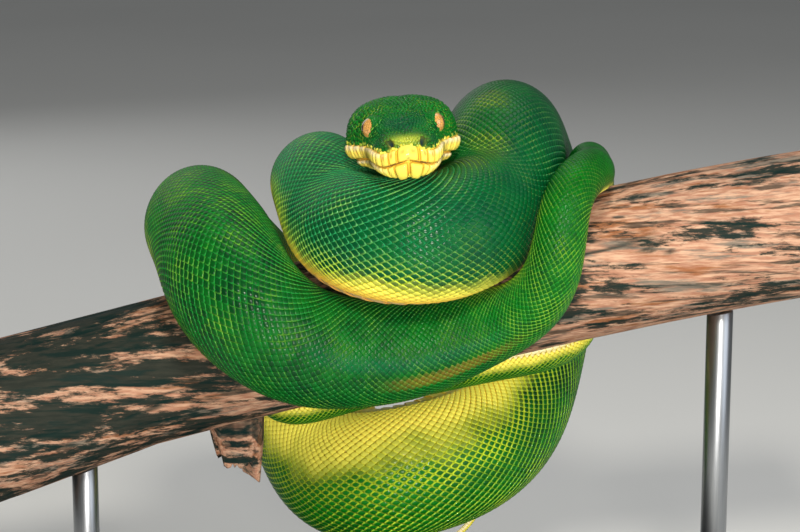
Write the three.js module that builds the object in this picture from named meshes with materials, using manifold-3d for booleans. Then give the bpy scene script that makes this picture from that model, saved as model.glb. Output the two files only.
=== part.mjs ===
// Green tree python at rest, coiled over a cut length of branch on a display stand.
// Millimetres, +Z up, the head faces -Y. Origin: centre of the underside of the base.
import * as THREE from 'three';
import { mergeVertices } from 'three/addons/utils/BufferGeometryUtils.js';
import Module from 'manifold-3d';

const wasm = await Module();
wasm.setup();

// ---- Driving dimensions ----
const GAP = 0.3;
const BASE = { length: 300, depth: 190, height: 12, corner: 16, bevel: 1.5 };
const ROD = { radius: 5, spread: 122 };
const PERCH = { height: 150, radius: 28, halfLength: 180, slope: 0.262, droop: 0.0003 };
const PERCH_SWELL = { from: -100, most: 4.2 };   // the branch thickens underneath towards its left end
const STUB = { x: -64, y: -3, rootDepth: 14, length: 43, radius: 11.8, taper: 0.25, lean: -2, slant: 4 };
const STUB_TEAR = { teeth: 4, height: 2.5, splinters: 7, splinterHeight: 1.5 };
const EYE = { radius: 3.8, side: 10.7, back: 20.4, up: 10.9 };
const NOSTRIL = { radius: 0.95, side: 7, up: 8.9 };
const HEAD = { snout: [3, -84, 69], length: 54, rearCentre: 3.2, roll: 4.5, yaw: -3 };
const MOUTH = { corner: 43, gap: 0.3 };
const LIP = { plates: 11, jawPlates: 9, offset: 2.3, height: 2.1, depth: 1.1 };
const PIT = { radius: 0.75, count: 4, from: 28, to: 40 };

// Middle line of the body, in mm from the perch axis at x = 0, neck to tail tip.
const NAPE = [[4, -19, 71], [4, -7, 66], [4, 8, 58], [4, 30, 49], [-1, 48, 41]];
const LEFT_HUMP = [[-11, 58, 36], [-23, 50, 37], [-29, 26, 43.5], [-30.5, 0, 49.5],
  [-27, -23, 51]];
const FRONT_RING = [[-18, -45, 46], [-9, -63, 39], [1, -75, 35], [12, -68, 40], [23, -51, 48]];
const RIGHT_HUMP = [[34, -30, 58], [42, -4, 62], [47, 24, 57], [53, 50, 39]];
const BACK_LOOP = [[55, 65, 14], [54, 60, -18], [43, 38, -45], [23, 22, -60], [-2, 12, -67.5],
  [-25, 17, -64], [-39, 35, -54], [-47, 62, -37], [-57, 71, -13]];
const OUTER_HUMP = [[-68, 48, 10], [-73.5, 18, 22], [-71.5, -10, 27], [-62, -36, 27.5],
  [-51, -54, 25]];
const LOWER_RING = [[-35, -55, 9], [-17, -54, -1], [0, -52.5, -4], [19, -51, 0], [31, -50, 9],
  [39, -54, 22]];
const THIN_HUMP = [[45, -60, 36], [50, -60, 47], [55, -52, 54], [60, -34, 58], [65, -10, 56],
  [69, 12, 50], [72, 28, 34], [72, 36, -3]];
const UNDER_RUN = [[71, 31, -15], [58, 24, -23], [36, 17, -25], [8, 15, -31], [-20, 15, -37],
  [-39, 17, -42]];
const TAIL = [[-50, 32, -40], [-50, 40, -25], [-39, 44, -12], [-20, 50, -8], [0, 58, -18],
  [13, 64, -41], [22, 72, -65], [31, 84, -87], [35, 84, -102], [30, 80, -114], [13, 76, -121],
  [-3, 74, -125], [-12, 72, -117]];

// Half thickness of the body in mm at distances along it from the nape.
const GIRTH = [[0, 11.4], [30, 11.6], [90, 14.2], [135, 16.6], [175, 18.8], [215, 21.8],
  [255, 23.1], [300, 23.2], [410, 24.2], [470, 26], [560, 26.8], [620, 26.2], [690, 23.6],
  [730, 21.8], [765, 22.0], [805, 24.2], [840, 22.8], [875, 19.8], [915, 14.0], [950, 10.2],
  [985, 8.8], [1030, 8.6], [1130, 8.4], [1230, 7.2], [1330, 5.2], [1410, 3.4], [1470, 1.2]];
// Turn of the back about the middle line in degrees, away from straight off the perch.
const ROLL = [[0, 0], [120, 0], [185, -30], [225, -50], [258, -20], [290, 15], [315, 25],
  [360, 0], [430, 20], [500, 60], [590, 60], [650, 30], [710, 0], [1500, 0]];
// Named lengths of the body: each ends at this distance from the nape.
const LENGTHS = [['neck', 72], ['body_1', 180], ['body_2', 285], ['body_3', 365], ['body_4', 445],
  ['body_5', 540], ['body_6', 635], ['body_7', 730], ['body_8', 850], ['body_9', 920],
  ['body_10', 1030], ['body_11', 1140], ['body_12', 1250], ['tail_1', 1350], ['tail_2', 1600]];

// Working of the middle line: points every few mm are faired and pushed clear of each other.
const STEP = 5;
const CLEARANCE = 0.8;
const TIGHTEST_BEND = 0.9;     // share of the bend at which the inside of a coil would crease
const FIRST_SETTLING = { rounds: 400, pull: 0.03, strength: 0.25 };
const LAST_SETTLING = { rounds: 200, pull: 0, strength: 0.1 };
const FIXED_POINTS = 3;         // points at the nape that stay in line with the head
const TURN_REACH = 7;           // points either side over which the turn of the back is evened
const SCUTE = { pitch: 10.5, rise: 0.035, halfArc: 50, ledge: 0.7 };
const SECTION = { sides: 14, ridge: 0.03 };

// Head outline: distance back from the snout, then the value in mm at that place.
const HALF_WIDTH = [[0, 7.4], [4, 10.4], [10, 12], [16, 12.4], [21, 13.3], [26, 15.8],
  [31, 18.5], [37, 19.8], [42, 19.5], [49, 16], [54, 12]];
const TOP = [[0, 6.6], [4, 9.8], [10, 11.6], [16, 13.8], [22, 16.6], [30, 18.8], [38, 19.4],
  [45, 18.2], [54, 14]];
const CHIN = [[0, 3.4], [4, 4.6], [12, 5.3], [22, 6.2], [32, 7], [42, 7.6], [54, 7.6]];
const WIDEST = [[0, 3.2], [10, 3.5], [20, 4], [30, 4.5], [40, 4.2], [54, 3.2]];
const BOXINESS = [[0, 2.3], [20, 2.45], [38, 2.3], [54, 2.1]];
// Height of the mouth line: by distance from the middle, and its fall towards the corner.
const MOUTH_FRONT = [[0, 1.8], [4.5, 0.8], [8.3, -0.5], [12, 0.6]];
const MOUTH_FALL = [[16, 0], [24, -0.9], [38, -3.1], [43, -3.4]];
const NOSE = { length: 5, bluntness: 2.6 };
const HEAD_RINGS = [0.25, 1, 2.3, 4, 6.5, 9.5, 12.5, 15.5, 18.5, 21.5, 24.5, 27.5, 30.5, 33.5,
  36.5, 39.5, 42.5, 45.5, 48.5, 51.5, 54];
const HEAD_SIDES = 26;
// Balls that fill the head: their place to each side, height and radius, by distance back.
const FILL_SIDE = [[0, 2], [10, 4], [26, 6], [42, 10.5], [54, 0]];
const FILL_HEIGHT = [[0, 1.5], [26, 2.5], [54, 3.8]];
const FILL_RADIUS = [[0, 4], [6, 6], [26, 8.5], [42, 10], [54, 11.4]];

// ---- Small helpers ----
const radians = THREE.MathUtils.degToRad;

function along(pairs, at) {
  const last = pairs.length - 1;
  if (at <= pairs[0][0]) return pairs[0][1];
  if (at >= pairs[last][0]) return pairs[last][1];
  const i = pairs.findIndex((pair) => pair[0] > at);
  const t = (at - pairs[i - 1][0]) / (pairs[i][0] - pairs[i - 1][0]);
  return THREE.MathUtils.lerp(pairs[i - 1][1], pairs[i][1], t);
}

// The same, rounded through the pairs so that a surface built on it has no creases.
function smoothAlong(pairs, at) {
  const reach = 2.2;
  return (along(pairs, at - reach) + 2 * along(pairs, at) + along(pairs, at + reach)) / 4;
}

function material(color, roughness, metalness = 0) {
  return new THREE.MeshStandardMaterial({ color, roughness, metalness });
}

function perchSwell(x) {
  const share = (x - PERCH_SWELL.from) / (-PERCH.halfLength - PERCH_SWELL.from);
  return PERCH_SWELL.most * Math.max(share, 0);
}

function perchAxis(x) {
  return PERCH.slope * x - PERCH.droop * x * Math.max(x, 0) - perchSwell(x);
}

function perchTilt(x) {
  return perchAxis(x + 0.5) - perchAxis(x - 0.5);
}

// A closed body through rings of points; the ends are capped by fans.
function loft(rings) {
  const points = [];
  const faces = [];
  const starts = rings.map((ring) => points.push(...ring) - ring.length);
  const middle = (ring) => {
    const sum = ring.reduce((total, p) => total.add(p), new THREE.Vector3());
    return points.push(sum.divideScalar(ring.length)) - 1;
  };
  const fan = (centre, start, count, turned) => {
    for (let k = 0; k < count; k++) {
      const a = start + k;
      const b = start + ((k + 1) % count);
      faces.push(...(turned ? [centre, b, a] : [centre, a, b]));
    }
  };
  for (let i = 0; i + 1 < rings.length; i++) {
    const count = Math.max(rings[i].length, rings[i + 1].length);
    if (rings[i].length === 1) fan(starts[i], starts[i + 1], count, false);
    else if (rings[i + 1].length === 1) fan(starts[i + 1], starts[i], count, true);
    else {
      for (let k = 0; k < count; k++) {
        const next = (k + 1) % count;
        const [a, b] = [starts[i] + k, starts[i] + next];
        const [c, d] = [starts[i + 1] + k, starts[i + 1] + next];
        faces.push(a, c, b, b, c, d);
      }
    }
  }
  const end = rings.length - 1;
  if (rings[0].length > 1) fan(middle(rings[0]), starts[0], rings[0].length, false);
  if (rings[end].length > 1) fan(middle(rings[end]), starts[end], rings[end].length, true);
  return outward(points, faces);
}

function outward(points, faces) {
  let volume = 0;
  for (let i = 0; i < faces.length; i += 3) {
    const [a, b, c] = [points[faces[i]], points[faces[i + 1]], points[faces[i + 2]]];
    volume += a.dot(new THREE.Vector3().crossVectors(b, c));
  }
  if (volume < 0) faces.reverse();
  const geometry = new THREE.BufferGeometry().setFromPoints(points);
  geometry.setIndex(faces);
  return geometry;
}

function solid(geometry) {
  const bare = geometry.clone();
  bare.deleteAttribute('normal');
  bare.deleteAttribute('uv');
  const merged = mergeVertices(bare, 1e-4);
  const vertProperties = new Float32Array(merged.attributes.position.array);
  const triVerts = new Uint32Array(merged.index.array);
  return new wasm.Manifold(new wasm.Mesh({ numProp: 3, vertProperties, triVerts }));
}

// The largest closed surface of a solid, as a geometry.
function geometryOf(shape) {
  const pieces = shape.decompose().sort((a, b) => b.volume() - a.volume());
  const mesh = pieces[0].getMesh();
  const geometry = new THREE.BufferGeometry();
  const positions = new THREE.BufferAttribute(new Float32Array(mesh.vertProperties), 3);
  geometry.setAttribute('position', positions);
  geometry.setIndex(Array.from(mesh.triVerts));
  return geometry;
}

function ball(radius, centre, scale = [1, 1, 1], sides = 8, bands = 5) {
  const geometry = new THREE.SphereGeometry(radius, sides, bands);
  geometry.scale(...scale);
  geometry.translate(...centre);
  return geometry;
}

function addMesh(group, name, geometry, meshMaterial) {
  const mesh = new THREE.Mesh(geometry, meshMaterial);
  mesh.name = name;
  group.add(mesh);
  return mesh;
}

// ---- Head, in its own frame: x to its left side, y back from the snout, z up ----
function noseRounding(back) {
  if (back >= NOSE.length) return 1;
  return (1 - (1 - back / NOSE.length) ** NOSE.bluntness) ** (1 / NOSE.bluntness);
}

function headSection(back) {
  const rounding = noseRounding(back);
  const level = smoothAlong(WIDEST, back);
  return {
    level,
    width: smoothAlong(HALF_WIDTH, back) * rounding,
    above: (smoothAlong(TOP, back) - level) * rounding,
    below: (smoothAlong(CHIN, back) + level) * rounding,
    power: smoothAlong(BOXINESS, back),
  };
}

function headPoint(back, angle) {
  const { level, width, above, below, power } = headSection(back);
  const [c, s] = [Math.cos(angle), Math.sin(angle)];
  const x = width * Math.sign(c) * Math.abs(c) ** (2 / power);
  const z = (s > 0 ? above : below) * Math.sign(s) * Math.abs(s) ** (2 / power);
  return new THREE.Vector3(x, back, level + z);
}

// Half width of the head at one height.
function headSide(back, height) {
  const { level, width, above, below, power } = headSection(back);
  const share = Math.abs(height - level) / (height > level ? above : below);
  return width * Math.max(1 - share ** power, 0) ** (1 / power);
}

// How far back the face lies at a place on the front of the snout.
function faceAt(side, height) {
  let back = 0.05;
  while (headSide(back, height) < side && back < HEAD.length) back += 0.05;
  return back;
}

function mouthHeight(side, back) {
  return along(MOUTH_FRONT, Math.abs(side)) + along(MOUTH_FALL, back);
}

// The edge of the head at one height over the mouth line.
function lipPoint(back, offset) {
  const side = headSide(back, mouthHeight(headSide(back, offset), back) + offset);
  const height = mouthHeight(side, back) + offset;
  return new THREE.Vector3(headSide(back, height), back, height);
}

// Points at even spacing along the lip, from the snout to the mouth corner.
function lipPoints(offset, count) {
  const track = [];
  for (let back = 0.6; back <= MOUTH.corner; back += 0.2) track.push(lipPoint(back, offset));
  const curve = new THREE.CatmullRomCurve3(track);
  const spaced = curve.getSpacedPoints(count);
  return spaced.slice(0, count).map((point, k) => ({
    point: point.clone().lerp(spaced[k + 1], 0.5),
    along: spaced[k + 1].clone().sub(point),
  }));
}

// One raised lip scale on each side: a low oval sunk in the lip.
function lipPlates(offset, count, plateHeight) {
  const plates = [];
  for (const { point, along: run } of lipPoints(offset, count)) {
    for (const side of [-1, 1]) {
      const plate = ball(1, [0, 0, 0], [LIP.depth, run.length() * 0.55, plateHeight], 7, 4);
      plate.rotateZ(-side * Math.atan2(run.x, run.y));
      plate.translate(side * (point.x - 0.25), point.y, point.z);
      plates.push(solid(plate));
    }
  }
  return plates;
}

// Everything below the mouth line as far back as its corner.
function belowMouth(shift, reach) {
  const rows = [-8, 16, 24, 31, 38, MOUTH.corner + reach];
  const edge = 24;
  const floor = -20;
  const halfStations = [0, 1.5, 3, 4.5, 6.4, 8.3, 10.2, 12, 18, edge];
  const stations = [...halfStations.slice(1).reverse().map((x) => -x), ...halfStations];
  const ring = (x) => [
    ...rows.map((back) => new THREE.Vector3(x, back, mouthHeight(x, back) + shift)),
    new THREE.Vector3(x, MOUTH.corner + reach, floor),
    new THREE.Vector3(x, rows[0], floor),
  ];
  return solid(loft(stations.map(ring)));
}

function headBlank() {
  const rings = HEAD_RINGS.map((back) => {
    const ring = [];
    for (let k = 0; k < HEAD_SIDES; k++) {
      ring.push(headPoint(back, (2 * Math.PI * k) / HEAD_SIDES));
    }
    return ring;
  });
  return solid(loft([[new THREE.Vector3(0, 0, along(WIDEST, 0))], ...rings]));
}

function facePits() {
  const pits = [];
  for (const side of [-1, 1]) {
    const nostrilBack = faceAt(NOSTRIL.side, NOSTRIL.up);
    pits.push(ball(NOSTRIL.radius, [side * NOSTRIL.side, nostrilBack, NOSTRIL.up], [1, 1, 1.5]));
    pits.push(ball(PIT.radius, [side * 2.3, faceAt(2.3, 5.6), 5.6]));
    for (let k = 0; k < PIT.count; k++) {
      const back = THREE.MathUtils.lerp(PIT.from, PIT.to, k / (PIT.count - 1));
      const { x, z } = lipPoint(back, LIP.offset);
      pits.push(ball(PIT.radius, [side * x, back, z]));
    }
  }
  return pits.map(solid);
}

function eyeBall(side, margin, sides, bands) {
  return ball(EYE.radius + margin, [side * EYE.side, EYE.back, EYE.up], [1, 1, 1], sides, bands);
}

function headPlacement() {
  const place = new THREE.Matrix4().makeTranslation(...HEAD.snout.map((v, i) =>
    v + (i === 2 ? PERCH.height : 0)));
  place.multiply(new THREE.Matrix4().makeRotationZ(-radians(HEAD.yaw)));
  return place.multiply(new THREE.Matrix4().makeRotationY(-radians(HEAD.roll)));
}

function buildHead(group, skin, yellow, eyeMaterial) {
  const place = headPlacement();
  const add = (name, geometry, look) => {
    addMesh(group, name, geometry.applyMatrix4(place), look);
  };
  const blank = headBlank();
  const upperPlates = lipPlates(LIP.offset, LIP.plates, LIP.height);
  const jawPlates = lipPlates(-LIP.offset, LIP.jawPlates, LIP.height * 0.8);
  const openings = facePits();
  for (const side of [-1, 1]) openings.push(solid(eyeBall(side, GAP, 20, 14)));
  const half = MOUTH.gap / 2;
  const head = wasm.Manifold.union([blank, ...upperPlates])
    .subtract(belowMouth(half, half))
    .subtract(wasm.Manifold.union(openings));
  const jaw = wasm.Manifold.union([blank, ...jawPlates]).intersect(belowMouth(-half, -half));
  add('head', geometryOf(head), skin);
  add('lower_jaw', geometryOf(jaw), yellow);
  add('eye_left', eyeBall(1, 0, 16, 11), eyeMaterial);
  add('eye_right', eyeBall(-1, 0, 16, 11), eyeMaterial);
}

// ---- Body ----
// Balls that fill the head, so that the coils rest against it and not in it.
function headBalls() {
  const balls = [];
  for (let back = 6; back < HEAD.length; back += 4) {
    const side = along(FILL_SIDE, back);
    const radius = along(FILL_RADIUS, back);
    const height = along(FILL_HEIGHT, back);
    for (const sign of side > 1 ? [-1, 1] : [0]) {
      const centre = new THREE.Vector3(sign * side, back, height).applyMatrix4(headPlacement());
      balls.push({ centre, radius });
    }
  }
  return balls;
}

function nape() {
  const place = headPlacement();
  return new THREE.Vector3(0, HEAD.length + GAP, HEAD.rearCentre).applyMatrix4(place);
}

function evenSpacing(points) {
  const curve = new THREE.CatmullRomCurve3(points, false, 'catmullrom', 0.5);
  curve.arcLengthDivisions = points.length * 24;
  return curve.getSpacedPoints(Math.round(curve.getLength() / STEP));
}

function girthAt(distance) {
  let sum = 0;
  for (let k = -4; k <= 4; k++) sum += along(GIRTH, Math.max(distance + k * STEP, 0));
  return sum / 9;
}

function fairing(points, radii, strength) {
  const bend = points.map((p, i) => {
    if (i === 0 || i === points.length - 1) return new THREE.Vector3();
    return points[i - 1].clone().add(points[i + 1]).multiplyScalar(0.5).sub(p);
  });
  points.forEach((p, i) => {
    if (i < FIXED_POINTS || i === points.length - 1) return;
    const change = bend[i - 1].clone().add(bend[i + 1]).multiplyScalar(0.5).sub(bend[i]);
    p.addScaledVector(change, -strength);
    const tightness = (bend[i].length() * 2 * radii[i]) / STEP ** 2;
    if (tightness > TIGHTEST_BEND) p.addScaledVector(bend[i], 0.35);
  });
}

function pushCoilsApart(points, radii) {
  const push = points.map(() => new THREE.Vector3());
  const count = points.map(() => 0);
  for (let i = 0; i < points.length; i++) {
    for (let j = i + 1; j < points.length; j++) {
      const reach = radii[i] + radii[j];
      if ((j - i) * STEP <= reach * 1.6) continue;
      const apart = points[j].clone().sub(points[i]);
      const lack = reach + CLEARANCE - apart.length();
      if (lack <= 0) continue;
      apart.setLength(lack / 2);
      push[j].add(apart);
      push[i].sub(apart);
      count[i] += 1;
      count[j] += 1;
    }
  }
  points.forEach((p, i) => {
    if (i >= FIXED_POINTS && count[i]) p.addScaledVector(push[i], 1.5 / count[i]);
  });
}

function clearHead(points, radii, balls) {
  for (let i = 12; i < points.length; i++) {
    let deepest = 0;
    const move = new THREE.Vector3();
    for (const { centre, radius } of balls) {
      const apart = points[i].clone().sub(centre);
      const lack = radii[i] + radius + CLEARANCE - apart.length();
      if (lack > deepest) {
        deepest = lack;
        move.copy(apart.setLength(lack));
      }
    }
    points[i].add(move);
  }
}

function clearPerch(points, radii) {
  for (let i = FIXED_POINTS; i < points.length; i++) {
    const p = points[i];
    const tilt = perchTilt(p.x);
    const level = 1 / Math.hypot(1, tilt);
    const height = (p.z - PERCH.height - perchAxis(p.x)) * level;
    const reach = Math.hypot(height, p.y);
    const need = PERCH.radius + radii[i] + CLEARANCE;
    if (reach >= need) continue;
    const share = (need - reach) / reach;
    p.y += p.y * share;
    p.z += height * share * level;
    p.x -= height * share * level * tilt;
  }
}

function settle(points, { rounds, pull, strength }) {
  const start = points.map((p) => p.clone());
  const radii = points.map((p, i) => girthAt(i * STEP));
  const balls = headBalls();
  for (let round = 0; round < rounds; round++) {
    fairing(points, radii, strength);
    points.forEach((p, i) => {
      if (i >= FIXED_POINTS) p.lerp(start[i], pull);
    });
    for (let pass = 0; pass < 2; pass++) {
      pushCoilsApart(points, radii);
      clearHead(points, radii, balls);
      clearPerch(points, radii);
    }
  }
  return points;
}

function middleLine() {
  const route = [NAPE, LEFT_HUMP, FRONT_RING, RIGHT_HUMP, BACK_LOOP, OUTER_HUMP, LOWER_RING,
    THIN_HUMP, UNDER_RUN, TAIL].flat();
  const points = route.map(([x, y, z]) => new THREE.Vector3(x, y, z + PERCH.height));
  const loose = settle(evenSpacing([nape(), ...points]), FIRST_SETTLING);
  return settle(evenSpacing(loose), LAST_SETTLING);
}

// The direction of the back at each worked point, carried along without sudden turns.
function bodyFrames(points) {
  const last = points.length - 1;
  const tangents = points.map((p, i) => {
    const ahead = points[Math.min(i + 1, last)];
    return ahead.clone().sub(points[Math.max(i - 1, 0)]).normalize();
  });
  const headAxis = new THREE.Vector3(0, 1, 0).transformDirection(headPlacement());
  [1, 0.6, 0.25].forEach((share, i) => tangents[i].lerp(headAxis, share).normalize());
  const headUp = new THREE.Vector3(0, 0, 1).transformDirection(headPlacement());
  const carried = [headUp.projectOnPlane(tangents[0]).normalize()];
  for (let i = 1; i <= last; i++) {
    const turn = new THREE.Quaternion().setFromUnitVectors(tangents[i - 1], tangents[i]);
    carried.push(carried[i - 1].clone().applyQuaternion(turn));
  }
  const angles = [];
  const weights = [];
  points.forEach((p, i) => {
    const off = new THREE.Vector3(0, p.y, p.z - PERCH.height - perchAxis(p.x));
    const flat = off.clone().projectOnPlane(tangents[i]);
    weights.push(0.02 + (flat.length() / off.length()) ** 2);
    const side = new THREE.Vector3().crossVectors(tangents[i], carried[i]);
    let angle = Math.atan2(flat.dot(side), flat.dot(carried[i]));
    while (i && angle - angles[i - 1] > Math.PI) angle -= 2 * Math.PI;
    while (i && angle - angles[i - 1] < -Math.PI) angle += 2 * Math.PI;
    angles.push(angle);
  });
  return points.map((p, i) => {
    let [sum, total] = [0, 0];
    for (let k = Math.max(i - TURN_REACH, 0); k <= Math.min(i + TURN_REACH, last); k++) {
      sum += (angles[k] + radians(along(ROLL, k * STEP))) * weights[k];
      total += weights[k];
    }
    const ease = Math.min(i / 8, 1);
    const back = carried[i].clone().applyAxisAngle(tangents[i], (sum / total) * ease);
    return { at: p, run: tangents[i], back };
  });
}

// Position and directions at any distance from the nape.
function frameAt(frames, distance) {
  const place = Math.min(distance / STEP, frames.length - 1.001);
  const i = Math.floor(place);
  const mix = (key) => frames[i][key].clone().lerp(frames[i + 1][key], place - i);
  const run = mix('run').normalize();
  const back = mix('back').projectOnPlane(run).normalize();
  return { at: mix('at'), run, back, side: new THREE.Vector3().crossVectors(back, run) };
}

// One outline across the body; lift (0 to 1) is how far the belly plate is raised here.
function bodyRing(frames, distance, lift) {
  const { at, back, side } = frameAt(frames, distance);
  const radius = girthAt(distance);
  const neckShare = Math.max(1 - distance / 60, 0);
  const ring = [];
  for (let k = 0; k < SECTION.sides; k++) {
    const angle = (2 * Math.PI * (k + 0.5)) / SECTION.sides;
    const fromBelly = Math.abs(180 - THREE.MathUtils.radToDeg(angle));
    const plate = fromBelly < SCUTE.halfArc ? SCUTE.rise * (lift - 1) : 0;
    const shape = 1 - SECTION.ridge * (1 - Math.cos(3 * angle)) / 2 + plate;
    const up = Math.cos(angle) * radius * shape * (1 - 0.05 * neckShare);
    const out = Math.sin(angle) * radius * shape * (1 + 0.04 * neckShare);
    ring.push(at.clone().addScaledVector(back, up).addScaledVector(side, out));
  }
  return ring;
}

// One length of the body with its belly plates, each rising to a free rear edge.
function bodyLength(frames, from, to) {
  const count = Math.max(Math.round((to - from) / SCUTE.pitch), 1);
  const pitch = (to - from) / count;
  const rings = [];
  for (let k = 0; k < count; k++) {
    const front = from + k * pitch;
    rings.push(bodyRing(frames, front + (k ? SCUTE.ledge : 0), 0));
    rings.push(bodyRing(frames, front + pitch, 1));
  }
  return rings;
}

function buildBody(group, skin) {
  const frames = bodyFrames(middleLine());
  const end = (frames.length - 1) * STEP;
  let from = 0;
  for (const [name, stop] of LENGTHS) {
    const to = Math.min(stop, end);
    const rings = bodyLength(frames, from, to - (to < end ? GAP : 3));
    if (to === end) rings.push([frameAt(frames, end).at]);
    addMesh(group, name, loft(rings), skin);
    from = to;
  }
}

// ---- Perch and stand ----
function perchRing(x, radius, sides) {
  const tilt = Math.atan(perchTilt(x));
  const ring = [];
  for (let k = 0; k < sides; k++) {
    const angle = (2 * Math.PI * k) / sides;
    const knot = 0.5 + 0.25 * Math.sin(3 * angle + x / 31) + 0.25 * Math.sin(2 * angle - x / 47);
    const reach = radius + perchSwell(x) - (radius > PERCH.radius ? 0 : 0.9 * knot);
    const up = reach * Math.cos(angle);
    const y = reach * Math.sin(angle);
    const z = PERCH.height + perchAxis(x) + up * Math.cos(tilt);
    ring.push(new THREE.Vector3(x - up * Math.sin(tilt), y, z));
  }
  return ring;
}

function perchSolid(radius) {
  const rings = [];
  const steps = 24;
  for (let k = 0; k <= steps; k++) {
    const x = THREE.MathUtils.lerp(-PERCH.halfLength, PERCH.halfLength, k / steps);
    rings.push(perchRing(x, radius, 22));
  }
  return solid(loft(rings));
}

// The torn end of a snapped side branch, under the perch.
function brokenStub() {
  const sides = 11;
  const level = PERCH.height + perchAxis(STUB.x) - STUB.rootDepth;
  const rings = [0, 0.45, 0.8, 1].map((share) => {
    const ring = [];
    const radius = STUB.radius * (1 - STUB.taper * share * share);
    for (let k = 0; k < sides; k++) {
      const angle = (2 * Math.PI * k) / sides;
      const tear = STUB_TEAR.height * Math.sin(STUB_TEAR.teeth * angle)
        + STUB_TEAR.splinterHeight * Math.cos(STUB_TEAR.splinters * angle)
        - STUB.slant * Math.cos(angle);
      const x = STUB.x + radius * Math.cos(angle) - STUB.lean * share;
      const y = STUB.y + radius * 0.8 * Math.sin(angle);
      ring.push(new THREE.Vector3(x, y, level + share * (tear - STUB.length + STUB.rootDepth)));
    }
    return ring;
  });
  return solid(loft(rings));
}

function buildPerch(group, wood) {
  addMesh(group, 'perch', geometryOf(perchSolid(PERCH.radius)), wood);
  const stub = brokenStub().subtract(perchSolid(PERCH.radius + GAP));
  addMesh(group, 'perch_stub', geometryOf(stub), wood);
}

function buildStand(group, painted, steel) {
  const half = [BASE.length / 2 - BASE.bevel, BASE.depth / 2 - BASE.bevel];
  const outline = new THREE.Shape();
  const corner = BASE.corner;
  outline.moveTo(-half[0] + corner, -half[1]);
  outline.lineTo(half[0] - corner, -half[1]);
  outline.absarc(half[0] - corner, -half[1] + corner, corner, -Math.PI / 2, 0);
  outline.absarc(half[0] - corner, half[1] - corner, corner, 0, Math.PI / 2);
  outline.absarc(-half[0] + corner, half[1] - corner, corner, Math.PI / 2, Math.PI);
  outline.absarc(-half[0] + corner, -half[1] + corner, corner, Math.PI, 1.5 * Math.PI);
  const slab = new THREE.ExtrudeGeometry(outline, {
    depth: BASE.height - 2 * BASE.bevel,
    bevelThickness: BASE.bevel,
    bevelSize: BASE.bevel,
    bevelSegments: 2,
    curveSegments: 6,
  });
  slab.translate(0, 0, BASE.bevel);
  addMesh(group, 'stand_base', geometryOf(solid(slab)), painted);

  const saddle = perchSolid(PERCH.radius + GAP);
  const foot = BASE.height + GAP;
  for (const [name, side] of [['stand_rod_left', 1], ['stand_rod_right', -1]]) {
    const height = PERCH.height + perchAxis(side * ROD.spread) - foot;
    const rod = new THREE.CylinderGeometry(ROD.radius, ROD.radius, height, 20);
    rod.rotateX(Math.PI / 2);
    rod.translate(side * ROD.spread, 0, foot + height / 2);
    addMesh(group, name, geometryOf(solid(rod).subtract(saddle)), steel);
  }
}

// ---- Assembly ----
function buildPython() {
  const group = new THREE.Group();
  const greenSkin = material('#157a2c', 0.45);
  const yellowSkin = material('#e6cf2a', 0.45);
  const iris = material('#d9a77c', 0.15);
  const weatheredWood = material('#c99b80', 0.85);
  const paintedBase = material('#2b2c2e', 0.6);
  const rodSteel = material('#8f9295', 0.35, 1);
  buildHead(group, greenSkin, yellowSkin, iris);
  buildBody(group, greenSkin);
  buildPerch(group, weatheredWood);
  buildStand(group, paintedBase, rodSteel);
  return group;
}

export default buildPython();
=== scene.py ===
import math
import bpy
import numpy as np
from mathutils import Matrix, Vector, noise


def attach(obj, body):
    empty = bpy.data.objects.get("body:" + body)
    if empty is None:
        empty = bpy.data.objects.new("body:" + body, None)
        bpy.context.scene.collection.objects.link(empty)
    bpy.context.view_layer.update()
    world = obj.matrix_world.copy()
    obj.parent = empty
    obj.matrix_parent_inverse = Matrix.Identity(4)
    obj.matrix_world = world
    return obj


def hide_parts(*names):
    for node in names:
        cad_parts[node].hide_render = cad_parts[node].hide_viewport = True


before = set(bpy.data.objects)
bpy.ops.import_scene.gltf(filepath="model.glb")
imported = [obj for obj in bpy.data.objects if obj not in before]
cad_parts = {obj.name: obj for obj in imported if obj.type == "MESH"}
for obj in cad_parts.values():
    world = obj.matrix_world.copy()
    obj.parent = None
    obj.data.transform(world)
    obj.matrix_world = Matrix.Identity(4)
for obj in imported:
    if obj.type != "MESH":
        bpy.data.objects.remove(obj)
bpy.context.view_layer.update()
print("frame loaded")

mm = 0.001

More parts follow.
